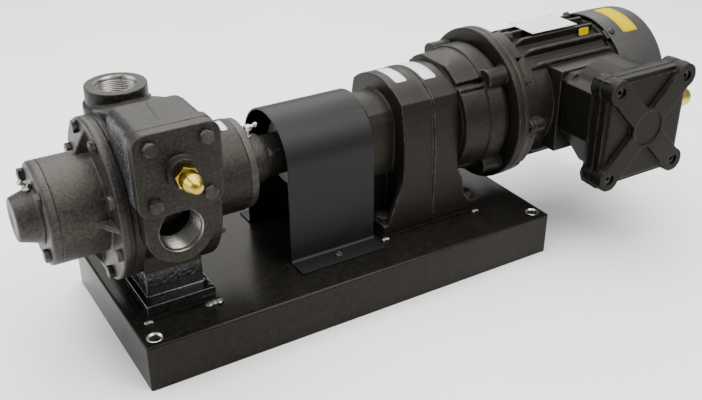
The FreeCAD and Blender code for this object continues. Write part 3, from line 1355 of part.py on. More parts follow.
b = body("cable_gland", BX, 0, H)
sk = sketch(b, "YZ_Plane", 65.05)
hexagon(sk, -134, 3, 25.0)
pad(b, sk, 9)
sk = sketch(b, "YZ_Plane", 74)
circle(sk, -134, 3, 11.6)
pad(b, sk, 22)
sk = sketch(b, "YZ_Plane", 95)
circle(sk, -134, 3, 12.6)
pad(b, sk, 22)
sk = sketch(b, "YZ_Plane", 116.5)
circle(sk, -134, 3, 11.4)
pad(b, sk, 4.5)
sk = sketch(b, "YZ_Plane", 120.5)
circle(sk, -134, 3, 8.6)
pad(b, sk, 3.5)
sk = sketch(b, "YZ_Plane", 66)
circle(sk, -134, 3, 10.0)
pad(b, sk, 14, rev=True)

# ---------------------------------------------------------------- write out
os.makedirs("parts", exist_ok=True)
doc.recompute()
for o in doc.Objects:
    bad = [w for w in o.State if w in ("Invalid", "Error")]
    if bad:
        raise RuntimeError("%s is %s" % (o.Name, bad))
labels = set()
for o in NODES:
    if o.Label in labels:
        raise RuntimeError("two sub-parts are called " + o.Label)
    labels.add(o.Label)
    shape = o.Shape
    if shape.isNull() or not shape.isValid() or not shape.Solids:
        raise RuntimeError("no sound solid in " + o.Label)
for o in NODES:
    o.Shape.exportStep("parts/%s.step" % o.Label)
print("%d sub-parts written" % len(NODES))
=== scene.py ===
import json
import math

import bmesh
import bpy
import numpy as np
from mathutils import Matrix, Vector, noise

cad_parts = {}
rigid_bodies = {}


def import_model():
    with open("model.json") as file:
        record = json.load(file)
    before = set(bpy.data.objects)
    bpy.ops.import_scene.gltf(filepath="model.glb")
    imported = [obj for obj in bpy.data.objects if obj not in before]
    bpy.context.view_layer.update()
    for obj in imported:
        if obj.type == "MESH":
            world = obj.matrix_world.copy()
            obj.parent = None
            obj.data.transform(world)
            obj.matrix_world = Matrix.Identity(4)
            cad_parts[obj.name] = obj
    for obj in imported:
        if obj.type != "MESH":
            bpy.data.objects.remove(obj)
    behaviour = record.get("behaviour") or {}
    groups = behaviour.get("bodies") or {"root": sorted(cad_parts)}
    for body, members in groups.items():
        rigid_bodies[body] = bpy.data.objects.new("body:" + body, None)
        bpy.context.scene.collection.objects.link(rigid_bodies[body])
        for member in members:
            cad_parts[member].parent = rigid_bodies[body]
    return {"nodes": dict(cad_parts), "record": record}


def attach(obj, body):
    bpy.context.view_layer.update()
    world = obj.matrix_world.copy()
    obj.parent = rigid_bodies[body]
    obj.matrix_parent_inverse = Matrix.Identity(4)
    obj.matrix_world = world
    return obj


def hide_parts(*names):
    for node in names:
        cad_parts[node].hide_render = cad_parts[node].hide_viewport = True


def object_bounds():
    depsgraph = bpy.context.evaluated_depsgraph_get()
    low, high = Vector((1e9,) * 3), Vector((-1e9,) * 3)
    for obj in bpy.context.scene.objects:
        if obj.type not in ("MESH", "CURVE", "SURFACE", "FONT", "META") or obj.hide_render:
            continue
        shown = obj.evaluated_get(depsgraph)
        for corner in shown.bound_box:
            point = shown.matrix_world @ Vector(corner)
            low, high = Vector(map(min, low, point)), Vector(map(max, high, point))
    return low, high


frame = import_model()
lo0, hi0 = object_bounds()
NODES = frame["nodes"]
AX = 0.176                      # shaft height
PX = -0.219                     # pump centre
MX = 0.243                      # flange joint of the motor
sin, cos, pi, rad = math.sin, math.cos, math.pi, math.radians


# ------------------------------------------------------------------ materials
def tree(name):
    m = bpy.data.materials.new(name)
    m.use_nodes = True
    nt = m.node_tree
    nt.nodes.clear()
    out = nt.nodes.new("ShaderNodeOutputMaterial")
    bs = nt.nodes.new("ShaderNodeBsdfPrincipled")
    nt.links.new(bs.outputs[0], out.inputs[0])
    co = nt.nodes.new("ShaderNodeTexCoord")
    return m, nt, bs, co.outputs["Object"]


def tex_noise(nt, vec, scale, detail=4.0, rough=0.55, stretch=None):
    if stretch:
        mp = nt.nodes.new("ShaderNodeMapping")
        mp.inputs["Scale"].default_value = stretch
        nt.links.new(vec, mp.inputs[0])
        vec = mp.outputs[0]
    n = nt.nodes.new("ShaderNodeTexNoise")
    n.inputs["Scale"].default_value = scale
    n.inputs["Detail"].default_value = detail
    n.inputs["Roughness"].default_value = rough
    nt.links.new(vec, n.inputs["Vector"])
    return n.outputs["Fac"]


def ramp(nt, fac, stops):
    r = nt.nodes.new("ShaderNodeValToRGB")
    els = r.color_ramp.elements
    els[0].position, els[1].position = stops[0][0], stops[-1][0]
    for p, c in stops[1:-1]:
        els.new(p)
    for e, (p, c) in zip(sorted(els, key=lambda q: q.position), stops):
        e.position = p
        e.color = (c, c, c, 1) if not hasattr(c, "__len__") else (*c, 1)
    nt.links.new(fac, r.inputs[0])
    return r.outputs[0]


def mix(nt, fac, a, b, mode="MIX"):
    m = nt.nodes.new("ShaderNodeMix")
    m.data_type = "RGBA"
    m.blend_type = mode
    for sock, v in ((m.inputs[0], fac), (m.inputs[6], a), (m.inputs[7], b)):
        if hasattr(v, "links"):
            nt.links.new(v, sock)
        elif hasattr(v, "__len__"):
            sock.default_value = (*v, 1)
        else:
            sock.default_value = v
    return m.outputs[2]


def add(nt, a, b, op="ADD"):
    m = nt.nodes.new("ShaderNodeMath")
    m.operation = op
    for sock, v in ((m.inputs[0], a), (m.inputs[1], b)):
        if hasattr(v, "links"):
            nt.links.new(v, sock)
        else:
            sock.default_value = v
    return m.outputs[0]


def bump(nt, bs, height, strength, distance):
    b = nt.nodes.new("ShaderNodeBump")
    b.inputs["Strength"].default_value = strength
    b.inputs["Distance"].default_value = distance
    nt.links.new(height, b.inputs["Height"])
    nt.links.new(b.outputs[0], bs.inputs["Normal"])


def edges(nt, lo=0.52, hi=0.60):
    g = nt.nodes.new("ShaderNodeNewGeometry")
    return ramp(nt, g.outputs["Pointiness"], [(lo, 0.0), (hi, 1.0)])


WARM = (1.06, 0.98, 0.85)


def paint(name, dark, light, rough=(0.34, 0.52), grain=900.0, grain_amp=0.5, grain_depth=0.0002, blotch=14.0,
          speck=0.0, wear=0.35, wear_colour=(0.30, 0.29, 0.28), pits=0.0, lump=0.0, edge=(0.52, 0.60), spec=0.22, spread=(0.30, 0.70), warm=True,
          salt=0.22, salt_colour=(0.044, 0.041, 0.037), speck_scale=1500.0, painted_top_light=0.0, grit_scale=560.0):
    """Black machine paint: mottled tone, fine grain or cast skin, edges rubbed paler (a strong edge setting also paints
    bevel highlights); the top-light weight paints up-facing surfaces lighter as painted light from above.
    """
    m, nt, bs, co = tree(name)
    if warm:
        dark, light = [tuple(c * k for c, k in zip(v, WARM)) for v in (dark, light)]
        bs.inputs["Specular Tint"].default_value = (1.0, 0.91, 0.79, 1)
    big = tex_noise(nt, co, blotch, 5.0, 0.6)
    fine = tex_noise(nt, co, grain, 3.0, 0.6)
    mid = tex_noise(nt, co, 120.0, 4.0, 0.6)
    tone = add(nt, add(nt, big, 0.65, "MULTIPLY"), add(nt, mid, 0.35, "MULTIPLY"))
    col = mix(nt, ramp(nt, tone, [(spread[0], 0.0), (spread[1], 1.0)]), dark, light)
    if salt:
        grit = tex_noise(nt, co, grit_scale, 1.0, 0.5)
        col = mix(nt, add(nt, ramp(nt, grit, [(0.50, 0.0), (0.70, 1.0)]), salt, "MULTIPLY"), col, salt_colour)
        col = mix(nt, add(nt, ramp(nt, grit, [(0.30, 1.0), (0.50, 0.0)]), min(0.8, salt * 3.2), "MULTIPLY"), col, (0.002, 0.002, 0.002))
    # painted top light: surfaces facing up are mixed towards a lighter grey, standing in for the light that falls on
    # them from above
    if painted_top_light:
        g = nt.nodes.new("ShaderNodeNewGeometry")
        x = nt.nodes.new("ShaderNodeSeparateXYZ")
        nt.links.new(g.outputs["Normal"], x.inputs[0])
        col = mix(nt, add(nt, ramp(nt, x.outputs["Z"], [(0.15, 0.0), (0.95, 1.0)]), painted_top_light, "MULTIPLY"), col, (0.060, 0.060, 0.060))
    if speck:
        sp = tex_noise(nt, co, speck_scale, 2.0, 0.7)
        col = mix(nt, add(nt, ramp(nt, sp, [(0.60, 0.0), (0.65, 1.0)] if speck_scale < 1000 else [(0.60, 0.0), (0.72, 1.0)]), speck, "MULTIPLY"), col, wear_colour)
    # edges rubbed paler towards wear_colour; on the terminal box paint this is turned up to paint bevel highlights
    w = add(nt, edges(nt, *edge), ramp(nt, mid, [(0.42, 0.15), (0.62, 1.0)]), "MULTIPLY")
    col = mix(nt, add(nt, w, wear, "MULTIPLY"), col, wear_colour)
    nt.links.new(col, bs.inputs["Base Color"])
    r = ramp(nt, add(nt, big, add(nt, fine, 0.4, "MULTIPLY")), [(0.45, rough[0]), (0.95, rough[1])])
    nt.links.new(r, bs.inputs["Roughness"])
    h = add(nt, fine, grain_amp, "MULTIPLY")
    if pits:
        v = nt.nodes.new("ShaderNodeTexVoronoi")
        v.inputs["Scale"].default_value = 420.0
        nt.links.new(co, v.inputs["Vector"])
        h = add(nt, h, add(nt, ramp(nt, v.outputs["Distance"], [(0.0, 0.0), (0.5, 1.0)]), pits, "MULTIPLY"))
    if lump:
        h = add(nt, h, add(nt, tex_noise(nt, co, 180.0, 3.0, 0.5), lump, "MULTIPLY"))
    bump(nt, bs, h, 0.55, grain_depth)
    bs.inputs["Specular IOR Level"].default_value = spec
    return m


def metal(name, dark, light, rough=(0.22, 0.40), brush=(1, 60, 60), scale=30.0, depth=0.00006, wear=0.2):
    m, nt, bs, co = tree(name)
    n = tex_noise(nt, co, scale, 6.0, 0.65, brush)
    big = tex_noise(nt, co, 40.0, 4.0, 0.6)
    col = mix(nt, ramp(nt, add(nt, add(nt, n, 0.6, "MULTIPLY"), add(nt, big, 0.4, "MULTIPLY")), [(0.38, 0.0), (0.62, 1.0)]), dark, light)
    nt.links.new(col, bs.inputs["Base Color"])
    nt.links.new(ramp(nt, add(nt, n, big), [(0.7, rough[0]), (1.3, rough[1])]), bs.inputs["Roughness"])
    bs.inputs["Metallic"].default_value = 1.0
    bump(nt, bs, n, 0.4, depth)
    return m


def plain(name, dark, light, rough=(0.5, 0.7), scale=200.0, depth=0.0001, metallic=0.0):
    m, nt, bs, co = tree(name)
    n = tex_noise(nt, co, scale, 4.0, 0.6)
    big = tex_noise(nt, co, 25.0, 4.0, 0.6)
    nt.links.new(mix(nt, ramp(nt, big, [(0.35, 0.0), (0.65, 1.0)]), dark, light), bs.inputs["Base Color"])
    nt.links.new(ramp(nt, n, [(0.3, rough[0]), (0.7, rough[1])]), bs.inputs["Roughness"])
    bs.inputs["Metallic"].default_value = metallic
    bump(nt, bs, n, 0.4, depth)
    return m


MAT = {
    "base_paint": paint("base_paint", (0.0036, 0.0035, 0.0032), (0.0064, 0.0061, 0.0055), (0.22, 0.34), grain=600, grain_amp=0.6,
                        grain_depth=0.00014, blotch=8, wear=0.10, wear_colour=(0.06, 0.058, 0.05), speck=0.05, spec=0.145, salt=0.12, salt_colour=(0.028, 0.026, 0.020)),
    "pump_paint": paint("pump_paint", (0.0048, 0.0046, 0.0044), (0.0115, 0.0109, 0.0103), (0.34, 0.50), grain=330, grain_amp=1.0,
                        grain_depth=0.00095, blotch=24, speck=0.10, wear=0.35, wear_colour=(0.11, 0.105, 0.10), lump=0.3, spec=0.19, salt=0.22,
                        salt_colour=(0.050, 0.047, 0.043), painted_top_light=0.28, grit_scale=330.0),
    # lighter, shinier copy of pump_paint for the pump heads and turned covers: a painted sheen standing in for the
    # softbox highlight on them
    "head_paint_painted_sheen": paint("head_paint_painted_sheen", (0.0105, 0.0101, 0.0097), (0.0235, 0.0226, 0.0216), (0.34, 0.50), grain=330, grain_amp=1.0,
                        grain_depth=0.00105, blotch=24, speck=0.10, wear=0.35, wear_colour=(0.11, 0.105, 0.10), lump=0.3, spec=0.31, salt=0.30,
                        salt_colour=(0.060, 0.057, 0.052), painted_top_light=0.35, grit_scale=330.0),
    # darker copy of the motor paint for the terminal box and its cover: painted shade for the shadow the motor throws
    # on the box; the strong rubbed-edge setting paints bevel highlights along its edges
    "box_paint_painted_shade_and_highlight": paint("box_paint_painted_shade_and_highlight", (0.0034, 0.0032, 0.0029), (0.0054, 0.0050, 0.0045), (0.33, 0.43), grain=450, grain_amp=0.8,
                       grain_depth=0.00030, blotch=10, speck=0.04, wear=0.65, wear_colour=(0.13, 0.125, 0.12), spec=0.078, salt=0.10, painted_top_light=0.12),
    "rough_cast": paint("rough_cast", (0.0050, 0.0052, 0.0064), (0.0150, 0.0156, 0.0180), (0.20, 0.40), grain=420, grain_amp=1.0,
                        grain_depth=0.0014, blotch=40, speck=0.50, wear=0.3, wear_colour=(0.20, 0.21, 0.23), pits=1.0, lump=0.9, spec=0.45, warm=False,
                        salt=0.2, speck_scale=300.0),
    "gloss_black": paint("gloss_black", (0.0030, 0.0030, 0.0032), (0.0055, 0.0055, 0.0058), (0.10, 0.24), grain=300, grain_amp=0.8,
                         grain_depth=0.0005, blotch=40, speck=0.10, wear=0.5, wear_colour=(0.16, 0.16, 0.16), lump=0.8, spec=0.55, warm=False,
                         salt=0.0, speck_scale=430.0),
    "gear_paint": paint("gear_paint", (0.0056, 0.0053, 0.0050), (0.0090, 0.0085, 0.0080), (0.31, 0.41), grain=400, grain_amp=0.9,
                        grain_depth=0.00050, blotch=12, speck=0.05, wear=0.60, wear_colour=(0.16, 0.15, 0.145), spec=0.14, salt=0.15, painted_top_light=0.16),
    "motor_paint": paint("motor_paint", (0.0090, 0.0086, 0.0082), (0.0135, 0.0128, 0.0122), (0.32, 0.44), grain=450, grain_amp=0.8,
                         grain_depth=0.00040, blotch=14, speck=0.05, wear=0.55, wear_colour=(0.14, 0.135, 0.13), spec=0.20, salt=0.15, painted_top_light=0.10),
    "guard_paint": paint("guard_paint", (0.0066, 0.0066, 0.0072), (0.0082, 0.0082, 0.0090), (0.40, 0.42), grain=1800, grain_amp=0.30,
                         grain_depth=0.00006, blotch=3, speck=0.0, wear=0.0, spec=0.165, spread=(0.1, 0.9), warm=False, salt=0.03, salt_colour=(0.02, 0.02, 0.021)),
    "cowl_paint": paint("cowl_paint", (0.0285, 0.0278, 0.0276), (0.0340, 0.0331, 0.0328), (0.44, 0.52), grain=1800, grain_amp=0.4,
                        grain_depth=0.00010, blotch=7, speck=0.0, wear=0.3, wear_colour=(0.14, 0.135, 0.13), spec=0.30, spread=(0.1, 0.9), warm=False, salt=0.02),
    "bolt_black": paint("bolt_black", (0.0046, 0.0045, 0.0046), (0.0105, 0.0102, 0.0100), (0.30, 0.46), grain=1500, grain_amp=0.4,
                        grain_depth=0.0001, blotch=60, wear=0.5, wear_colour=(0.15, 0.145, 0.14), edge=(0.51, 0.56), spec=0.20, salt=0.12),
    "hub_paint": paint("hub_paint", (0.010, 0.0095, 0.0095), (0.017, 0.0165, 0.016), (0.3, 0.5), grain=1200, grain_amp=0.4,
                       grain_depth=0.00012, blotch=30, wear=0.5, wear_colour=(0.20, 0.195, 0.19), spec=0.3),
    "iron": metal("iron", (0.16, 0.16, 0.16), (0.30, 0.30, 0.30), (0.35, 0.55), (1, 30, 30), 40, 0.00008),
    "bright_steel": metal("bright_steel", (0.45, 0.45, 0.45), (0.68, 0.68, 0.67), (0.18, 0.34)),
    "gear_steel": metal("gear_steel", (0.30, 0.30, 0.31), (0.50, 0.50, 0.52), (0.2, 0.38)),
    "thread_steel": metal("thread_steel", (0.17, 0.165, 0.150), (0.46, 0.45, 0.41), (0.20, 0.38), (1, 20, 1), 60, 0.00005),
    "zinc": metal("zinc", (0.34, 0.34, 0.31), (0.56, 0.56, 0.52), (0.18, 0.35), (10, 10, 10), 60, 0.00003),
    "brass": metal("brass", (0.27, 0.195, 0.022), (0.47, 0.355, 0.055), (0.14, 0.28), (1, 60, 60), 20, 0.00003),
    "brass_pale": metal("brass_pale", (0.42, 0.33, 0.075), (0.62, 0.50, 0.14), (0.22, 0.34), (1, 8, 8), 20, 0.00003),
    "copper": metal("copper", (0.40, 0.15, 0.07), (0.62, 0.28, 0.14), (0.3, 0.45)),
    "plate_metal": metal("plate_metal", (0.66, 0.66, 0.66), (0.80, 0.80, 0.79), (0.30, 0.45), (2, 90, 2), 40, 0.00002),
    "carbon": plain("carbon", (0.018, 0.018, 0.019), (0.034, 0.034, 0.036), (0.35, 0.5)),
    "rubber": plain("rubber", (0.012, 0.012, 0.012), (0.022, 0.022, 0.022), (0.55, 0.75)),
    "spider_rubber": plain("spider_rubber", (0.03, 0.03, 0.035), (0.05, 0.05, 0.055), (0.45, 0.6)),
    "fan_plastic": plain("fan_plastic", (0.025, 0.025, 0.025), (0.045, 0.045, 0.045), (0.4, 0.55)),
    "block_plastic": plain("block_plastic", (0.58, 0.55, 0.48), (0.68, 0.65, 0.58), (0.4, 0.55)),
    "white_label": plain("white_label", (0.52, 0.52, 0.51), (0.66, 0.66, 0.65), (0.35, 0.5), 300, 0.00004),
    "yellow_label": plain("yellow_label", (0.40, 0.30, 0.0005), (0.46, 0.35, 0.001), (0.85, 0.95), 300, 0.00004),
    "weld": metal("weld", (0.09, 0.088, 0.084), (0.40, 0.385, 0.36), (0.25, 0.5), (8, 8, 8), 60, 0.0003),
    "dark_hole": plain("dark_hole", (0.006, 0.006, 0.006), (0.010, 0.010, 0.010), (0.6, 0.8)),
}
MAT["yellow_label"].node_tree.nodes["Principled BSDF"].inputs["Specular IOR Level"].default_value = 0.0
SLOT = {s["node"]: s["material_slot"] for s in frame["record"]["subparts"]}
for n, o in NODES.items():
    m = MAT[SLOT[n]]
    if not o.data.materials:
        o.data.materials.append(m)
    for i in range(len(o.data.materials)):
        o.data.materials[i] = m


# ------------------------------------------------------------------ mesh tools
def obj_from(name, verts, faces, mat, smooth=True, body="skid", sharp=None):
    me = bpy.data.meshes.new(name)
    me.from_pydata([tuple(v) for v in verts], [], faces)
    me.validate()
    me.update()
    return finish_obj(name, me, mat, smooth, body, sharp)


def finish_obj(name, me, mat, smooth=True, body="skid", sharp=None):
    o = bpy.data.objects.new(name, me)
    bpy.context.scene.collection.objects.link(o)
    me.materials.clear()
    me.materials.append(MAT[mat])
    for p in me.polygons:
        p.use_smooth = smooth
    if smooth and sharp:
        bm = bmesh.new()
        bm.from_mesh(me)
        for e in bm.edges:
            if len(e.link_faces) == 2 and e.calc_face_angle(0.0) > rad(sharp):
                e.smooth = False
        bm.to_mesh(me)
        bm.free()
    if body:
        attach(o, body)
    return o


def bake(o):
    """Applies the object's modifiers to its mesh."""
    dg = bpy.context.evaluated_depsgraph_get()
    me = bpy.data.meshes.new_from_object(o.evaluated_get(dg))
    old = o.data
    o.modifiers.clear()
    o.data = me
    bpy.data.meshes.remove(old)
    return o


def clean(o):
    bm = bmesh.new()
    bm.from_mesh(o.data)
    bmesh.ops.remove_doubles(bm, verts=bm.verts, dist=2e-7)
    bmesh.ops.recalc_face_normals(bm, faces=bm.faces)
    bm.to_mesh(o.data)
    bm.free()


def copy_nodes(name, nodes):
    verts, faces = [], []
    for n in nodes:
        me = NODES[n].data
        k = len(verts)
        verts += [v.co.copy() for v in me.vertices]
        faces += [[i + k for i in p.vertices] for p in me.polygons]
    me = bpy.data.meshes.new(name)
    me.from_pydata(verts, [], faces)
    o = bpy.data.objects.new(name, me)
    bpy.context.scene.collection.objects.link(o)
    clean(o)
    return o


def grain(o, amp, scale, where=None, seed=0.0):
    """Moves vertices along their normals by smooth noise: the skin of a sand casting."""
    me = o.data
    n = len(me.vertices)
    co = np.zeros(n * 3)
    no = np.zeros(n * 3)
    me.vertices.foreach_get("co", co)
    me.vertices.foreach_get("normal", no)
    co, no = co.reshape(-1, 3), no.reshape(-1, 3)
    idx = np.arange(n) if where is None else np.nonzero(where(co, no))[0]
    for i in idx:
        p = Vector(co[i]) * scale + Vector((seed, seed, seed))
        d = noise.noise(p) * 0.6 + noise.noise(p * 2.3) * 0.4
        co[i] += no[i] * d * amp
    me.vertices.foreach_set("co", co.ravel())
    me.update()


def cast(name, nodes, mat, voxel=0.0013, passes=5, amp=0.0, scale=160.0, where=None, edit=None, body="skid", replaces=None):
    """A casting's own mesh: the solid's surface with every edge and corner run together as a mould leaves them."""
    o = copy_nodes(name, nodes)
    if edit:
        edit(o)
    r = o.modifiers.new("skin", "REMESH")
    r.mode = "VOXEL"
    r.voxel_size = voxel
    r.use_smooth_shade = True
    if passes:
        s = o.modifiers.new("round", "SMOOTH")
        s.factor = 0.5
        s.iterations = passes
    bake(o)
    if amp:
        grain(o, amp, scale, where)
    o.data.materials.clear()
    o.data.materials.append(MAT[mat])
    for p in o.data.polygons:
        p.use_smooth = True
    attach(o, body)
    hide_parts(*(replaces or nodes))
    return o


def lathe(name, prof, origin, axis, mat, segs=96, body="skid", sharp=35, closed=True):
    """Turned piece: profile of (along, radius) about an axis through origin."""
    axis = Vector(axis).normalized()
    u = axis.orthogonal().normalized()
    w = axis.cross(u)
    origin = Vector(origin)
    n = len(prof)
    verts, faces = [], []
    rings = []
    for a, r in prof:
        if r < 1e-7:
            rings.append([len(verts)])
            verts.append(origin + axis * a)
        else:
            ring = []
            for i in range(segs):
                t = 2 * pi * i / segs
                ring.append(len(verts))
                verts.append(origin + axis * a + (u * cos(t) + w * sin(t)) * r)
            rings.append(ring)
    pairs = [(i, i + 1) for i in range(n - 1)] + ([(n - 1, 0)] if closed else [])
    for a, b in pairs:
        A, B = rings[a], rings[b]
        if len(A) == 1 and len(B) == 1:
            continue
        for i in range(segs):
            j = (i + 1) % segs
            if len(A) == 1:
                faces.append([A[0], B[j], B[i]])
            elif len(B) == 1:
                faces.append([A[i], A[j], B[0]])
            else:
                faces.append([A[i], A[j], B[j], B[i]])
    o = obj_from(name, verts, faces, mat, True, None, None)
    bm = bmesh.new()
    bm.from_mesh(o.data)
    bmesh.ops.recalc_face_normals(bm, faces=bm.faces)
    for e in bm.edges:
        if len(e.link_faces) == 2 and e.calc_face_angle(0.0) > rad(sharp):
            e.smooth = False
    bm.to_mesh(o.data)
    bm.free()
    if body:
        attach(o, body)
    return o


def hex_head(flats, height, shank, length, washer=0.0, segs=48, spin=0.0, socket=0.0):
    """A bolt along +Z with its seat at z = 0: chamfered head, optional washer, shank below."""
    verts, faces = [], []

    def ring(z, rf):
        k = len(verts)
        for i in range(segs):
            t = 2 * pi * i / segs
            r = rf(t)
            verts.append(Vector((r * cos(t + spin), r * sin(t + spin), z(t) if callable(z) else z)))
        return list(range(k, k + segs))

    def hexr(t):
        s = (t + pi / 6) % (pi / 3) - pi / 6
        return flats / 2 / cos(s)

    def band(A, B):
        for i in range(segs):
            j = (i + 1) % segs
            faces.append([A[i], A[j], B[j], B[i]])

    z0 = washer
    rings = []
    if length > 0:
        rings.append(ring(-length, lambda t: shank * 0.82))
        rings.append(ring(-length + shank * 0.2, lambda t: shank))
    else:
        rings.append(ring(0, lambda t: shank))
    rings.append(ring(0, lambda t: shank))
    if washer:
        rings.append(ring(0, lambda t: flats * 0.60))
        rings.append(ring(washer, lambda t: flats * 0.60))
    rings.append(ring(z0, lambda t: flats / 2 * 0.96))
    rings.append(ring(z0 + height * 0.06, lambda t: hexr(t) * 0.995))
    cham = lambda t: z0 + height - max(0.0, (hexr(t) - flats / 2 * 0.97)) * 0.62
    rings.append(ring(lambda t: cham(t) - height * 0.03, hexr))
    rings.append(ring(lambda t: cham(t) + height * 0.005, lambda t: hexr(t) * 0.985))
    rings.append(ring(z0 + height, lambda t: flats / 2 * 0.90))
    if socket:
        rings.append(ring(z0 + height, lambda t: socket))
        rings.append(ring(z0 + height * 0.4, lambda t: socket))
    for a, b in zip(rings, rings[1:]):
        if a != b:
            band(a, b)
    faces.append(rings[0][::-1])
    faces.append(rings[-1])
    return verts, faces


def cap_screw(radius, height, socket, shank, length, segs=36):
    """Socket-head screw along +Z, seat at z = 0."""
    verts, faces = [], []

    def ring(z, r, six=False):
        k = len(verts)
        for i in range(segs):
            t = 2 * pi * i / segs
            s = (t + pi / 6) % (pi / 3) - pi / 6
            rr = r / cos(s) if six else r
            verts.append(Vector((rr * cos(t), rr * sin(t), z)))
        return list(range(k, k + segs))
    rr = [ring(-length, shank), ring(0, shank), ring(0, radius), ring(height - radius * 0.12, radius),
          ring(height, radius * 0.88), ring(height, socket * 1.02, True), ring(height * 0.45, socket, True)]
    for A, B in zip(rr, rr[1:]):
        for i in range(segs):
            j = (i + 1) % segs
            faces.append([A[i], A[j], B[j], B[i]])
    faces.append(rr[0][::-1])
    faces.append(rr[-1])
    return verts, faces


def group(name, parts, places, mat, body="skid", sharp=28):
    """Many equal small pieces as one object: places are (position, direction, spin, which part)."""
    verts, faces = [], []
    for at, along, spin, which in places:
        pv, pf = parts[which]
        q = Vector((0, 0, 1)).rotation_difference(Vector(along).normalized())
        M = Matrix.Translation(Vector(at)) @ q.to_matrix().to_4x4() @ Matrix.Rotation(spin, 4, "Z")
        k = len(verts)
        verts += [M @ v for v in pv]
        faces += [[i + k for i in f] for f in pf]
    return obj_from(name, verts, faces, mat, True, body, sharp)


def around(r, angle, x):
    """Point at radius r and an angle from +Z towards -Y about the shaft."""
    return Vector((x, -r * sin(rad(angle)), AX + r * cos(rad(angle))))


def out_dir(angle):
    return Vector((0, -sin(rad(angle)), cos(rad(angle))))


# ------------------------------------------------------------------ base
def rounded_box(name, lo, hi, r, mat, segs=4, open_low=False, body="skid"):
    bm = bmesh.new()
    bmesh.ops.create_cube(bm, size=1.0)
    for v in bm.verts:
        v.co = Vector([lo[i] + (v.co[i] + 0.5) * (hi[i] - lo[i]) for i in range(3)])
    es = [e for e in bm.edges if not (open_low and abs(e.verts[0].co.z - lo[2]) < 1e-6 and abs(e.verts[1].co.z - lo[2]) < 1e-6)]
    bmesh.ops.bevel(bm, geom=es, offset=r, segments=segs, profile=0.5, affect="EDGES")
    if open_low:
        low = [f for f in bm.faces if all(abs(v.co.z - lo[2]) < 1e-6 for v in f.verts)]
        bmesh.ops.delete(bm, geom=low, context="FACES_ONLY")
    me = bpy.data.meshes.new(name)
    bm.to_mesh(me)
    bm.free()
    return finish_obj(name, me, mat, True, body, 40)


def cylinder_cutter(name, at, along, r, length, segs=48):
    along = Vector(along).normalized()
    q = Vector((0, 0, 1)).rotation_difference(along)
    bm = bmesh.new()
    bmesh.ops.create_cone(bm, cap_ends=True, segments=segs, radius1=r, radius2=r, depth=length)
    bm.transform(Matrix.Translation(Vector(at)) @ q.to_matrix().to_4x4())
    me = bpy.data.meshes.new(name)
    bm.to_mesh(me)
    bm.free()
    o = bpy.data.objects.new(name, me)
    bpy.context.scene.collection.objects.link(o)
    return o


def cut(o, cutters):
    for c in cutters:
        m = o.modifiers.new("cut", "BOOLEAN")
        m.operation = "DIFFERENCE"
        m.solver = "EXACT"
        m.object = c
        bake(o)
        bpy.data.objects.remove(c)
    return o


base = rounded_box("base_frame", (-0.275, -0.125, 0.0), (0.275, 0.125, 0.056), 0.0028, "base_paint", 4, True, None)
sol = base.modifiers.new("plate", "SOLIDIFY")
sol.thickness = 0.0045
sol.offset = -1
bake(base)
cut(base, [cylinder_cutter("c", (sx * 0.260, sy * 0.109, 0.05), (0, 0, 1), 0.0092, 0.05) for sx in (-1, 1) for sy in (-1, 1)])
for p in base.data.polygons:
    p.use_smooth = True
bm = bmesh.new()
bm.from_mesh(base.data)
for e in bm.edges:
    if len(e.link_faces) == 2 and e.calc_face_angle(0.0) > rad(38):
        e.smooth = False
bm.to_mesh(base.data)
bm.free()
base.data.materials.clear()
base.data.materials.append(MAT["base_paint"])
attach(base, "skid")
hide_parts("base_top_plate", "base_side_rails", "base_end_rails")

# ------------------------------------------------------------------ pump


def open_ports(o):
    """Widens both port bores so that the threaded surface can stand in them."""
    for v in o.data.vertices:
        x, y, z = v.co
        d = math.hypot(x - PX, z - AX)
        if y < -0.0555 and d < 0.0236 and d > 0.015:
            k = 0.0243 / d
            v.co.x, v.co.z = PX + (x - PX) * k, AX + (z - AX) * k
        d = math.hypot(x - PX + 0.0015, y - 0.050)
        if z > 0.235 and d < 0.0236 and d > 0.015:
            k = 0.0243 / d
            v.co.x, v.co.y = PX - 0.0015 + (x - PX + 0.0015) * k, 0.050 + (y - 0.050) * k


casing = cast("casing_cast", ["pump_casing"], "pump_paint", 0.0011, 2, 0.00024, 230.0)
open_ports(casing)
for v in casing.data.vertices:
    x, y, z = v.co
    if z > AX + 0.108 and y < -0.046 and v.normal.z > 0.6:
        q = x - (PX - 0.001 - 0.0060 * (-0.046 - y) / 0.062)
        v.co.z += 0.0007 / (1 + math.exp(-max(-30.0, min(30.0, q / 0.0004))))
casing.data.materials.append(MAT["rough_cast"])
casing.data.materials.append(MAT["gloss_black"])
for p in casing.data.polygons:
    c, n = p.center, p.normal
    if n.x < -0.45 and c.y < -0.045 and AX + 0.030 < c.z < AX + 0.112 and c.x < PX - 0.034:
        p.material_index = 1
    elif AX - 0.0800 < c.z < AX - 0.0735 and n.y < -0.3:
        p.material_index = 1
    elif c.z < AX - 0.0735:
        p.material_index = 2
# outboard head: its body in the lighter copy of the pump paint (painted sheen), the part towards the casing in
# pump_paint
out_head = cast("outboard_head_cast", ["outboard_head"], "head_paint_painted_sheen", 0.0011, 2, 0.00020, 230.0)
out_head.data.materials.append(MAT["pump_paint"])
for p in out_head.data.polygons:
    if p.center.x > PX - 0.0486:
        p.material_index = 1
drv_head = cast("drive_head_cast", ["drive_head"], "pump_paint", 0.0011, 2, 0.00020, 230.0)


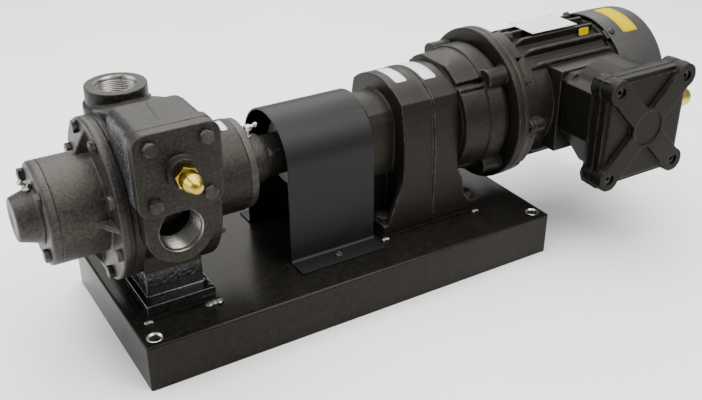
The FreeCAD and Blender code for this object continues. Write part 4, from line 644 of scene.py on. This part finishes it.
def threads(name, centre, axis, r_mid, depth, start, length, pitch=0.00221, r_out=0.0244, mouth=0.0242, cone=0.0026, segs=128):
    """Closed sleeve with a real helical thread on its inside, running in from the mouth."""
    axis = Vector(axis).normalized()
    u = axis.orthogonal().normalized()
    w = axis.cross(u)
    centre = Vector(centre)
    per = 8
    rows = int(length / pitch * per)
    verts, faces = [], []

    def ring(f):
        k = len(verts)
        for i in range(segs):
            t = 2 * pi * i / segs
            a, r = f(t)
            verts.append(centre - axis * a + (u * cos(t) + w * sin(t)) * r)
        return list(range(k, k + segs))

    rings = [ring(lambda t: (start, mouth + 0.0002)), ring(lambda t: (start + 0.0002, mouth))]
    for j in range(rows + 1):
        def f(t, j=j):
            a = start + cone + pitch * j / per
            ph = (j / per + t / (2 * pi)) % 1.0
            tri = abs(ph * 2 - 1)
            fade = min(1.0, j / (per * 1.0))
            return a, r_mid + depth * (tri - 0.5) * fade
        rings.append(ring(f))
    rings.append(ring(lambda t: (start + cone + length + 0.0006, r_mid - 0.0002)))
    rings.append(ring(lambda t: (start + cone + length + 0.0006, r_out)))
    rings.append(ring(lambda t: (start + 0.0004, r_out)))
    for A, B in zip(rings, rings[1:] + rings[:1]):
        for i in range(segs):
            j = (i + 1) % segs
            faces.append([A[i], A[j], B[j], B[i]])
    o = obj_from(name, verts, faces, "thread_steel", True, None, None)
    bm = bmesh.new()
    bm.from_mesh(o.data)
    bmesh.ops.recalc_face_normals(bm, faces=bm.faces)
    bm.to_mesh(o.data)
    bm.free()
    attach(o, "skid")
    return o


threads("front_port_thread", (PX, -0.111, AX), (0, -1, 0), 0.0226, 0.0011, 0.0, 0.030)
threads("top_port_thread", (PX - 0.0015, 0.050, AX + 0.106), (0, 0, 1), 0.0226, 0.0011, 0.0, 0.030)

# turned covers
R1 = 0.057
# the turned covers and shaft cap take the lighter copy of the pump paint, a painted sheen
lathe("outboard_cover_turned", [(-0.1076, 0.0355), (-0.1076, R1), (-0.1133, R1), (-0.1150, 0.0566), (-0.1164, 0.0556), (-0.1172, 0.0540),
                                (-0.1176, 0.0520), (-0.1176, 0.036), (-0.1172, 0.0345), (-0.1172, 0.024), (-0.1016, 0.024), (-0.1016, 0.0355)],
      (PX, 0, AX), (1, 0, 0), "head_paint_painted_sheen", 128)
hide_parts("outboard_bearing_cover")
lathe("drive_cover_turned", [(0.1077, 0.0355), (0.1077, 0.0528), (0.1084, 0.0534), (0.1155, 0.0534), (0.1166, 0.0530), (0.1172, 0.0522), (0.1173, 0.0505),
                             (0.1173, 0.0330), (0.1177, 0.0312), (0.1184, 0.0300), (0.1194, 0.0295), (0.1390, 0.0294), (0.1412, 0.0289), (0.1424, 0.0278),
                             (0.1430, 0.0262), (0.1430, 0.0166), (0.1424, 0.0155), (0.1410, 0.0150), (0.1130, 0.0150), (0.1130, 0.0240), (0.1016, 0.024), (0.1016, 0.0355)],
      (PX, 0, AX), (1, 0, 0), "head_paint_painted_sheen", 128)
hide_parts("drive_bearing_cover")
lathe("shaft_cap_turned", [(-0.1176, 0.0328), (-0.1186, 0.0326), (-0.1196, 0.0316), (-0.1204, 0.0306), (-0.1300, 0.0276), (-0.1396, 0.0248), (-0.1410, 0.0240),
                           (-0.1418, 0.0228), (-0.1420, 0.0210), (-0.1420, 0.0095), (-0.1416, 0.0088), (-0.1412, 0.0), (-0.1386, 0.0), (-0.1386, 0.0212), (-0.1176, 0.028)],
      (PX, 0, AX), (1, 0, 0), "head_paint_painted_sheen", 96)
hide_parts("shaft_end_cap")

# relief valve cover: rounded square, slightly crowned edge, turned boss
cover = cast("valve_cover_cast", ["relief_valve_cover"], "pump_paint", 0.0009, 2, 0.00010, 260.0)

M8 = hex_head(0.013, 0.0055, 0.004, 0.018, 0.0)
M8b = hex_head(0.013, 0.0060, 0.004, 0.018, 0.0)
places = []
for k in range(8):
    a = 22.5 + 45 * k
    for m in (-1, 1):
        p = around(0.081, -a, PX + m * 0.055)
        places.append((p, (m, 0, 0), 0.3 * k + (0.4 if m > 0 else 1.1), 0))
o = group("head_bolts_detail", [M8], places, "bolt_black")
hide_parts("head_bolts")
places = []
for k in range(4):
    a = 45 + 90 * k
    places.append((around(0.0465, -a, PX - 0.1176), (-1, 0, 0), 0.5 * k, 0))
for i, (sx, sz) in enumerate(((-1, -1), (-1, 1), (1, -1), (1, 1))):
    places.append((Vector((PX + 0.029 * sx, -0.125, AX + 0.074 + 0.0305 * sz)), (0, -1, 0), 0.37 * i, 0))
sunk = cap_screw(0.0052, 0.0022, 0.0025, 0.0028, 0.0060)
for k in range(4):
    places.append((around(0.0465, 45 + 90 * k, PX + 0.1152), (1, 0, 0), 0.8 * k, 1))
o = group("cover_bolts_detail", [M8b, sunk], places, "bolt_black")
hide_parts("cover_bolts")

# brass acorn cap over the relief valve's adjusting screw
vz = AX + 0.074
verts, faces = hex_head(0.022, 0.0088, 0.0100, 0.0)
cap_hex = group("relief_cap_hexagon", [(verts, faces)], [(Vector((PX, -0.1362, vz)), (0, -1, 0), 0.26, 0)], "brass")
cap = lathe("relief_cap_turned", [(0.0, 0.0072), (0.0, 0.0098), (0.0088, 0.0100), (0.0094, 0.0104), (0.0204, 0.0104), (0.0210, 0.0103), (0.0262, 0.0082), (0.0266, 0.0080),
                                  (0.0296, 0.0072), (0.0318, 0.0058), (0.0331, 0.0038), (0.0338, 0.0017), (0.0340, 0.0), (0.0180, 0.0), (0.0160, 0.0072)],
            (PX, -0.1366, vz), (0, -1, 0), "brass", 64, "skid", 16)
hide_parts("relief_cap")
for i, (sx, sy) in enumerate(((-1, -1), (-1, 1), (1, -1), (1, 1))):
    lathe("anchor_sleeve_%d" % i, [(0.0, 0.0065), (0.0546, 0.0065), (0.0562, 0.0079), (0.0564, 0.0085), (0.0561, 0.0090), (0.0, 0.0090)],
                         (0.26 * sx, 0.109 * sy, 0.0), (0, 0, 1), "bright_steel", 64, "skid", 30)
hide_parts("anchor_sleeves")
gx, gy, gz = 0.374, -0.134, AX + 0.003
verts, faces = hex_head(0.025, 0.0088, 0.0100, 0.0)
gland_hex = group("gland_hexagon", [(verts, faces)], [(Vector((gx + 0.0652, gy, gz)), (1, 0, 0), 0.2, 0)], "brass")
gland_turned = lathe("gland_turned", [(0.0738, 0.0090), (0.0740, 0.0114), (0.0944, 0.0114), (0.0952, 0.0122), (0.0965, 0.0126), (0.1125, 0.0126), (0.1138, 0.0122),
                                      (0.1156, 0.0110), (0.1168, 0.0092), (0.1177, 0.0068), (0.1182, 0.0040), (0.1184, 0.0), (0.1100, 0.0), (0.1000, 0.0088)],
                     (gx, gy, gz), (1, 0, 0), "brass_pale", 96, "skid", 30)
gland_thread = lathe("gland_thread", [(0.0525, 0.0070), (0.0525, 0.0094), (0.0532, 0.0098), (0.0655, 0.0098), (0.0655, 0.0070)],
                     (gx, gy, gz), (1, 0, 0), "brass", 64, "skid", 30)
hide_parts("cable_gland")

# grease fittings


def zerk(name, at, along):
    p = hex_head(0.0092, 0.0045, 0.0026, 0.004)
    o = group(name + "_hexagon", [p], [(at, along, 0.2, 0)], "zinc")
    t = lathe(name + "_nipple", [(0.0030, 0.0), (0.0030, 0.0028), (0.0052, 0.0028), (0.0068, 0.0021), (0.0092, 0.0021), (0.0104, 0.0030), (0.0118, 0.0033),
                                 (0.0130, 0.0029), (0.0137, 0.0016), (0.0137, 0.0008), (0.0128, 0.0)],
              at, along, "zinc", 32, "skid", 40, False)
    return o, t


z1 = zerk("outboard_grease", Vector((PX - 0.1211, 0, AX + 0.0317)), (-5.3, 0, 6.6))
seat = rounded_box("outboard_grease_seat", (PX - 0.1240, -0.0050, AX + 0.0285), (PX - 0.1172, 0.0050, AX + 0.0312), 0.0012, "pump_paint")
# angled fitting on the drive cover's boss
stem = lathe("drive_grease_stem", [(0.0, 0.0), (0.0, 0.0040), (0.0022, 0.0042), (0.0026, 0.0029), (0.0090, 0.0029), (0.0090, 0.0)],
             (PX + 0.129, 0, AX + 0.0288), (0, 0, 1), "zinc", 32, "skid", 30, False)
block = rounded_box("drive_grease_block", (PX + 0.1252, -0.0038, AX + 0.0371), (PX + 0.1328, 0.0038, AX + 0.0441), 0.0009, "zinc")
nip = lathe("drive_grease_nipple", [(0.0, 0.0), (0.0, 0.0034), (0.0022, 0.0034), (0.0030, 0.0022), (0.0052, 0.0022), (0.0062, 0.0029), (0.0078, 0.0033),
                                    (0.0094, 0.0031), (0.0108, 0.0022), (0.0114, 0.0010), (0.0106, 0.0)],
            (PX + 0.1315, 0, AX + 0.0406), (1, 0, 0.22), "zinc", 32, "skid", 30, False)
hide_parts("grease_fittings")

# ------------------------------------------------------------------ guard


def guard():
    R, t, zb, fl = 0.0575, 0.002, 0.056 - AX, 0.086
    out, inn = [], []

    def arc(cx, cz, r, a0, a1, n):
        return [(cx + r * cos(rad(a0 + (a1 - a0) * i / n)), cz + r * sin(rad(a0 + (a1 - a0) * i / n))) for i in range(n + 1)]
    outer = [(fl, zb + t)] + arc(R + 0.004, zb + t + 0.004, 0.004, 270, 180, 6) + arc(0, 0, R, 0, 180, 72) + \
        arc(-R - 0.004, zb + t + 0.004, 0.004, 0, -90, 6) + [(-fl, zb + t)]
    inner = [(fl, zb)] + arc(R + 0.004, zb + 0.006, 0.006, 270, 180, 6) + arc(0, 0, R - t, 0, 180, 72) + \
        arc(-R - 0.004, zb + 0.006, 0.006, 0, -90, 6) + [(-fl, zb)]
    x0, x1 = -0.0685, 0.047
    verts, faces = [], []
    n = len(outer)
    for x in (x0, x0 + 0.0002, (x0 + x1) / 2, x1 - 0.0002, x1):
        for (y, z), (yi, zi) in zip(outer, inner):
            verts.append((x, y, AX + z))
        for (y, z), (yi, zi) in zip(outer, inner):
            verts.append((x, yi, AX + zi))
    row = 2 * n
    for j in range(4):
        a, b = j * row, (j + 1) * row
        for i in range(n - 1):
            faces.append([a + i, a + i + 1, b + i + 1, b + i])
            faces.append([a + n + i + 1, a + n + i, b + n + i, b + n + i + 1])
        faces.append([a, b, b + n, a + n])
        faces.append([a + n - 1, a + 2 * n - 1, b + 2 * n - 1, b + n - 1])
    for i in range(n - 1):
        faces.append([i + 1, i, n + i, n + i + 1])
        k = 4 * row
        faces.append([k + i, k + i + 1, k + n + i + 1, k + n + i])
    o = obj_from("guard_sheet", verts, faces, "guard_paint", True, None, None)
    clean(o)
    b = o.modifiers.new("edge", "BEVEL")
    b.width = 0.0004
    b.segments = 2
    b.limit_method = "ANGLE"
    b.angle_limit = rad(50)
    bake(o)
    bm = bmesh.new()
    bm.from_mesh(o.data)
    for e in bm.edges:
        e.smooth = not (len(e.link_faces) == 2 and e.calc_face_angle(0.0) > rad(35))
    bm.to_mesh(o.data)
    bm.free()
    for p in o.data.polygons:
        p.use_smooth = True
    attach(o, "skid")
    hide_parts("coupling_guard")


guard()

# ------------------------------------------------------------------ gear reducer, lantern
gf = cast("reducer_front_cast", ["gearbox_front_housing"], "gear_paint", 0.0012, 2)
gr = cast("reducer_rear_cast", ["gearbox_rear_housing"], "gear_paint", 0.0012, 2)
lan = cast("lantern_cast", ["adapter_lantern"], "gear_paint", 0.0012, 2)

JX = 0.130
for o, x0, x1 in ((gf, JX - 0.0036, JX - 0.0006), (gr, JX + 0.0006, JX + 0.0036)):
    for v in o.data.vertices:
        if x0 < v.co.x < x1 and abs(v.normal.x) < 0.8 and v.co.z > 0.070:
            r = math.hypot(v.co.y, v.co.z - 0.160)
            if (r > 0.0815 and v.co.z > 0.19) or (abs(v.co.y) > 0.0595 and v.co.z <= 0.226):
                d = Vector((0, v.normal.y, v.normal.z))
                v.co += d.normalized() * 0.0009

# ------------------------------------------------------------------ motor
ds = cast("drive_shield_cast", ["motor_drive_shield"], "motor_paint", 0.0012, 2)
fr = cast("frame_cast", ["motor_frame"], "motor_paint", 0.0011, 2)
# terminal box and its cover in the darkened box paint: painted shade, with painted highlights on the edges
tb = cast("terminal_box_cast", ["terminal_box"], "box_paint_painted_shade_and_highlight", 0.0012, 3)
for v in tb.data.vertices:          # the corner flange is deeper than the plain plate
    if -0.1520 < v.co.y < -0.1480 and v.normal.y > 0.35:
        v.co.y += 0.0068
tc = cast("terminal_cover_cast", ["terminal_box_cover"], "box_paint_painted_shade_and_highlight", 0.0010, 2)


def cowl():
    """Pressed steel fan cowl: rolled shell, domed end, two rings of air slots."""
    c, e = 0.425, 0.505
    prof = [(c, 0.0864), (c - 0.0000, 0.0874), (c + 0.0006, 0.0880), (c + 0.0400, 0.0878), (c + 0.0700, 0.0870), (e - 0.0075, 0.0864), (e - 0.0050, 0.0857), (e - 0.0030, 0.0842),
            (e - 0.0014, 0.0818), (e - 0.0005, 0.0790), (e, 0.0755), (e, 0.0), (e - 0.0016, 0.0), (e - 0.0016, 0.0752), (e - 0.0022, 0.0782), (e - 0.0032, 0.0806),
            (e - 0.0048, 0.0826), (e - 0.0068, 0.0838), (e - 0.0090, 0.0844), (c + 0.0400, 0.0858)]
    o = lathe("cowl_shell", prof, (0, 0, AX), (1, 0, 0), "cowl_paint", 160, None)
    bm = bmesh.new()
    for n, r0, r1 in ((18, 0.024, 0.044), (30, 0.048, 0.068)):
        for i in range(n):
            g = bmesh.ops.create_cube(bm, size=1.0)["verts"]
            for v in g:
                v.co = Vector((e + v.co.x * 0.010, v.co.y * 0.0038, (r0 + r1) / 2 + v.co.z * (r1 - r0)))
            bmesh.ops.rotate(bm, verts=g, cent=(0, 0, 0), matrix=Matrix.Rotation(2 * pi * i / n, 3, "X"))
    bmesh.ops.translate(bm, verts=bm.verts, vec=(0, 0, AX))
    me = bpy.data.meshes.new("slots")
    bm.to_mesh(me)
    bm.free()
    k = bpy.data.objects.new("slots", me)
    bpy.context.scene.collection.objects.link(k)
    cut(o, [k])
    bm = bmesh.new()
    bm.from_mesh(o.data)
    for ed in bm.edges:
        ed.smooth = not (len(ed.link_faces) == 2 and ed.calc_face_angle(0.0) > rad(34))
    bm.to_mesh(o.data)
    bm.free()
    for p in o.data.polygons:
        p.use_smooth = True
    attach(o, "skid")
    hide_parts("fan_cowl")


cowl()

# ------------------------------------------------------------------ stickers, welds, rivets


def sticker(name, x0, x1, a0, a1, r, cz, mat, t=0.00025, n=24, corner=0.0015):
    """Thin sheet that follows a cylinder about a line along X; a0, a1 from +Z towards -Y; rounded corners."""
    pts = []
    wx, wa = (x1 - x0) / 2, rad(a1 - a0) / 2 * r
    for cx, ca, q0 in ((1, 1, 0), (-1, 1, 90), (-1, -1, 180), (1, -1, 270)):
        for k in range(5):
            q = rad(q0 + 22.5 * k)
            pts.append(((wx - corner) * cx + corner * cos(q), (wa - corner) * ca + corner * sin(q)))
    xm, am = (x0 + x1) / 2, rad(a0 + a1) / 2
    rows = []
    for i in range(n + 1):
        w = wa * (2.0 * i / n - 1)
        inset = 0.0
        if abs(w) > wa - corner:
            dd = abs(w) - (wa - corner)
            inset = corner - math.sqrt(max(0.0, corner * corner - dd * dd))
        rows.append((w / r + am, xm - wx + inset, xm + wx - inset))
    verts, faces = [], []
    for rr in (r, r + t):
        for a, xa, xb in rows:
            for x in (xa, xa + (xb - xa) / 3, xa + (xb - xa) * 2 / 3, xb):
                verts.append((x, -rr * sin(a), cz + rr * cos(a)))
    m = 4 * (n + 1)
    for i in range(n):
        for j in range(3):
            q = i * 4 + j
            faces.append([m + q, m + q + 1, m + q + 5, m + q + 4])
            faces.append([q, q + 4, q + 5, q + 1])
        for q in (i * 4, i * 4 + 3):
            faces.append([q, m + q, m + q + 4, q + 4] if q % 4 else [q, q + 4, m + q + 4, m + q])
    for j in range(3):
        faces.append([j, j + 1, m + j + 1, m + j])
        q = n * 4 + j
        faces.append([q, m + q, m + q + 1, q + 1])
    o = obj_from(name, verts, faces, mat, True, None, None)
    clean(o)
    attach(o, "skid")
    return o


sticker("reducer_label_front", 0.0975, 0.1140, -14, 17.5, 0.08515, 0.160, "white_label")
sticker("reducer_label_rear", 0.1345, 0.1540, -26, 21, 0.08515, 0.160, "white_label")
sticker("pump_label", PX + 0.0905, PX + 0.0985, -7, 17.5, 0.0549, AX, "white_label")
sticker("cowl_label", 0.4505, 0.4770, -8, 34, 0.08795, AX, "yellow_label")

# small round-cornered sticker on the flank of a cooling fin
a0, a1 = rad(20.2), rad(17.0)
pa, pb = Vector((0, -0.0772 * sin(a0), AX + 0.0772 * cos(a0))), Vector((0, -0.0862 * sin(a1), AX + 0.0862 * cos(a1)))
dn = (pb - pa).cross(Vector((1, 0, 0))).normalized()
if dn.y > 0:
    dn = -dn
verts, faces = [], []
for k in (0, 1):
    for i in range(28):
        t = 2 * pi * i / 28
        u = max(-1.0, min(1.0, 1.25 * cos(t)))
        w = max(-1.0, min(1.0, 1.25 * sin(t)))
        verts.append(Vector((0.3985 + u * 0.0085, 0, 0)) + pa.lerp(pb, 0.5 + 0.5 * w) + dn * (0.0004 + 0.0003 * k))
faces = [list(range(28))[::-1], list(range(28, 56))] + [[i, (i + 1) % 28, 28 + (i + 1) % 28, 28 + i] for i in range(28)]
o = obj_from("fin_label", verts, faces, "yellow_label", False, None)
clean(o)
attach(o, "skid")

# tack welds along the two machined pads
verts, faces = [], []
for j, (x, y) in enumerate(((-0.1805, -0.0815), (-0.2565, -0.0815), (0.0570, -0.0685), (0.1965, -0.0685), (-0.1805, 0.0815), (-0.2565, 0.0815), (0.0570, 0.0685), (0.1965, 0.0685))):
    big = 1.9 if j == 0 else 1.0
    for q in range(3):
        bm = bmesh.new()
        bmesh.ops.create_icosphere(bm, subdivisions=3, radius=1.0)
        k = len(verts)
        for v in bm.verts:
            p = v.co * (1 + 0.22 * noise.noise(v.co * 2.2 + Vector((j * 3.1, q * 1.7, 0))))
            verts.append(Vector((x + (q - 1) * 0.0030 * big + p.x * 0.0026 * big, y + math.copysign(0.0012, y) * big + (q % 2) * 0.0011 + p.y * 0.0028 * big, 0.0570 + p.z * 0.0022)))
        faces += [[v.index + k for v in f.verts] for f in bm.faces]
        bm.free()
obj_from("pad_tack_welds", verts, faces, "weld", True, "skid")

# rivets of the name plate
for i, (x, y) in enumerate(((0.3165, -0.0180), (0.3165, 0.0260), (0.3865, -0.0180), (0.3865, 0.0260))):
    lathe("plate_rivet_%d" % i, [(0.0, 0.0), (0.0, 0.0016), (0.0004, 0.0016), (0.0008, 0.0012), (0.0011, 0.0006), (0.0012, 0.0)],
          (x, y, AX + 0.08784), (0, 0, 1), "zinc", 20, "skid", 40, False)

# foot bolts with chamfered heads and washers
head = hex_head(0.016, 0.0050, 0.0050, 0.0200, 0.0012)
places = [((x, y, 0.0721), (0, 0, 1), 0.3 + 0.7 * i, 0) for i, (x, y) in enumerate(((0.0685, -0.046), (0.0685, 0.046), (0.1945, -0.046), (0.1945, 0.046)))]
places += [((PX + 0.0045 + sx * 0.027, sy * 0.066, 0.0499), (0, 0, -1), 0.5 * sx, 0) for sx in (-1, 1) for sy in (-1, 1)]
o = group("foot_bolts_detail", [head], places, "bolt_black")
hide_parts("foot_bolts")

# ------------------------------------------------------------------ floor, light, camera
fl = obj_from("floor", [(-6, -6, -0.0002), (6, -6, -0.0002), (6, 6, -0.0002), (-6, 6, -0.0002)], [[0, 1, 2, 3]], "white_label", False, None)
m, nt, bs, co = tree("floor_paper")
nt.links.new(mix(nt, ramp(nt, tex_noise(nt, co, 3.0), [(0.3, 0.0), (0.7, 1.0)]), (0.86, 0.86, 0.86), (0.90, 0.90, 0.90)), bs.inputs["Base Color"])
bs.inputs["Roughness"].default_value = 0.9
fl.data.materials[0] = m

w = bpy.data.worlds.new("studio")
bpy.context.scene.world = w
w.use_nodes = True
bg = w.node_tree.nodes["Background"]
bg.inputs[0].default_value = (0.95, 0.97, 1.0, 1)
bg.inputs[1].default_value = 0.38


def area(name, at, to, size, power, colour=(1, 1, 1)):
    l = bpy.data.lights.new(name, "AREA")
    l.shape = "RECTANGLE"
    l.size, l.size_y = size
    l.energy = power
    l.color = colour
    o = bpy.data.objects.new(name, l)
    o.location = at
    o.rotation_euler = (Vector(to) - Vector(at)).to_track_quat("-Z", "Y").to_euler()
    bpy.context.scene.collection.objects.link(o)
    return o


area("back_panel", (1.25, 2.05, 1.75), (0.0, 0.0, 0.15), (3.2, 1.6), 50, (1.0, 0.99, 0.97))
area("top_softbox", (0.0, 0.4, 2.1), (0.0, 0.2, 0.0), (2.4, 2.4), 108, (1.0, 0.99, 0.97))
area("left_panel", (-1.7, 0.5, 0.9), (-0.25, 0, 0.18), (1.4, 1.2), 26, (0.92, 0.96, 1.0))
area("front_top_softbox", (0.62, -1.0, 1.55), (0.0, 0.0, 0.18), (1.3, 0.9), 30, (1.0, 0.98, 0.95))
area("front_fill", (0.9, -2.2, 1.3), (0.1, 0, 0.15), (1.2, 0.8), 10, (1.0, 0.97, 0.93))

cam = bpy.data.cameras.new("camera")
cam.lens = 48.34
cam.sensor_width = 36.0
co_ = bpy.data.objects.new("camera", cam)
bpy.context.scene.collection.objects.link(co_)
f = Vector((0.4527, 0.7513, -0.4800)).normalized()
right = f.cross(Vector((0, 0, 1))).normalized()
up = right.cross(f)
roll = rad(-0.19)
r2 = right * cos(roll) + up * sin(roll)
u2 = up * cos(roll) - right * sin(roll)
M = Matrix(((r2.x, u2.x, -f.x, -0.498), (r2.y, u2.y, -f.y, -0.908), (r2.z, u2.z, -f.z, 0.663), (0, 0, 0, 1)))
co_.matrix_world = M
bpy.context.scene.camera = co_

# no remeshed skin or lathe may stand above the top of the CAD model
for o in list(bpy.data.objects):
    if o.type != "MESH":
        continue
    mw = o.matrix_world
    high = [v for v in o.data.vertices if hi0[2] < (mw @ v.co).z < hi0[2] + 0.004]
    for v in high:
        w = mw @ v.co
        w.z = hi0[2]
        v.co = mw.inverted() @ w
    if high:
        print("lowered", o.name, len(high))
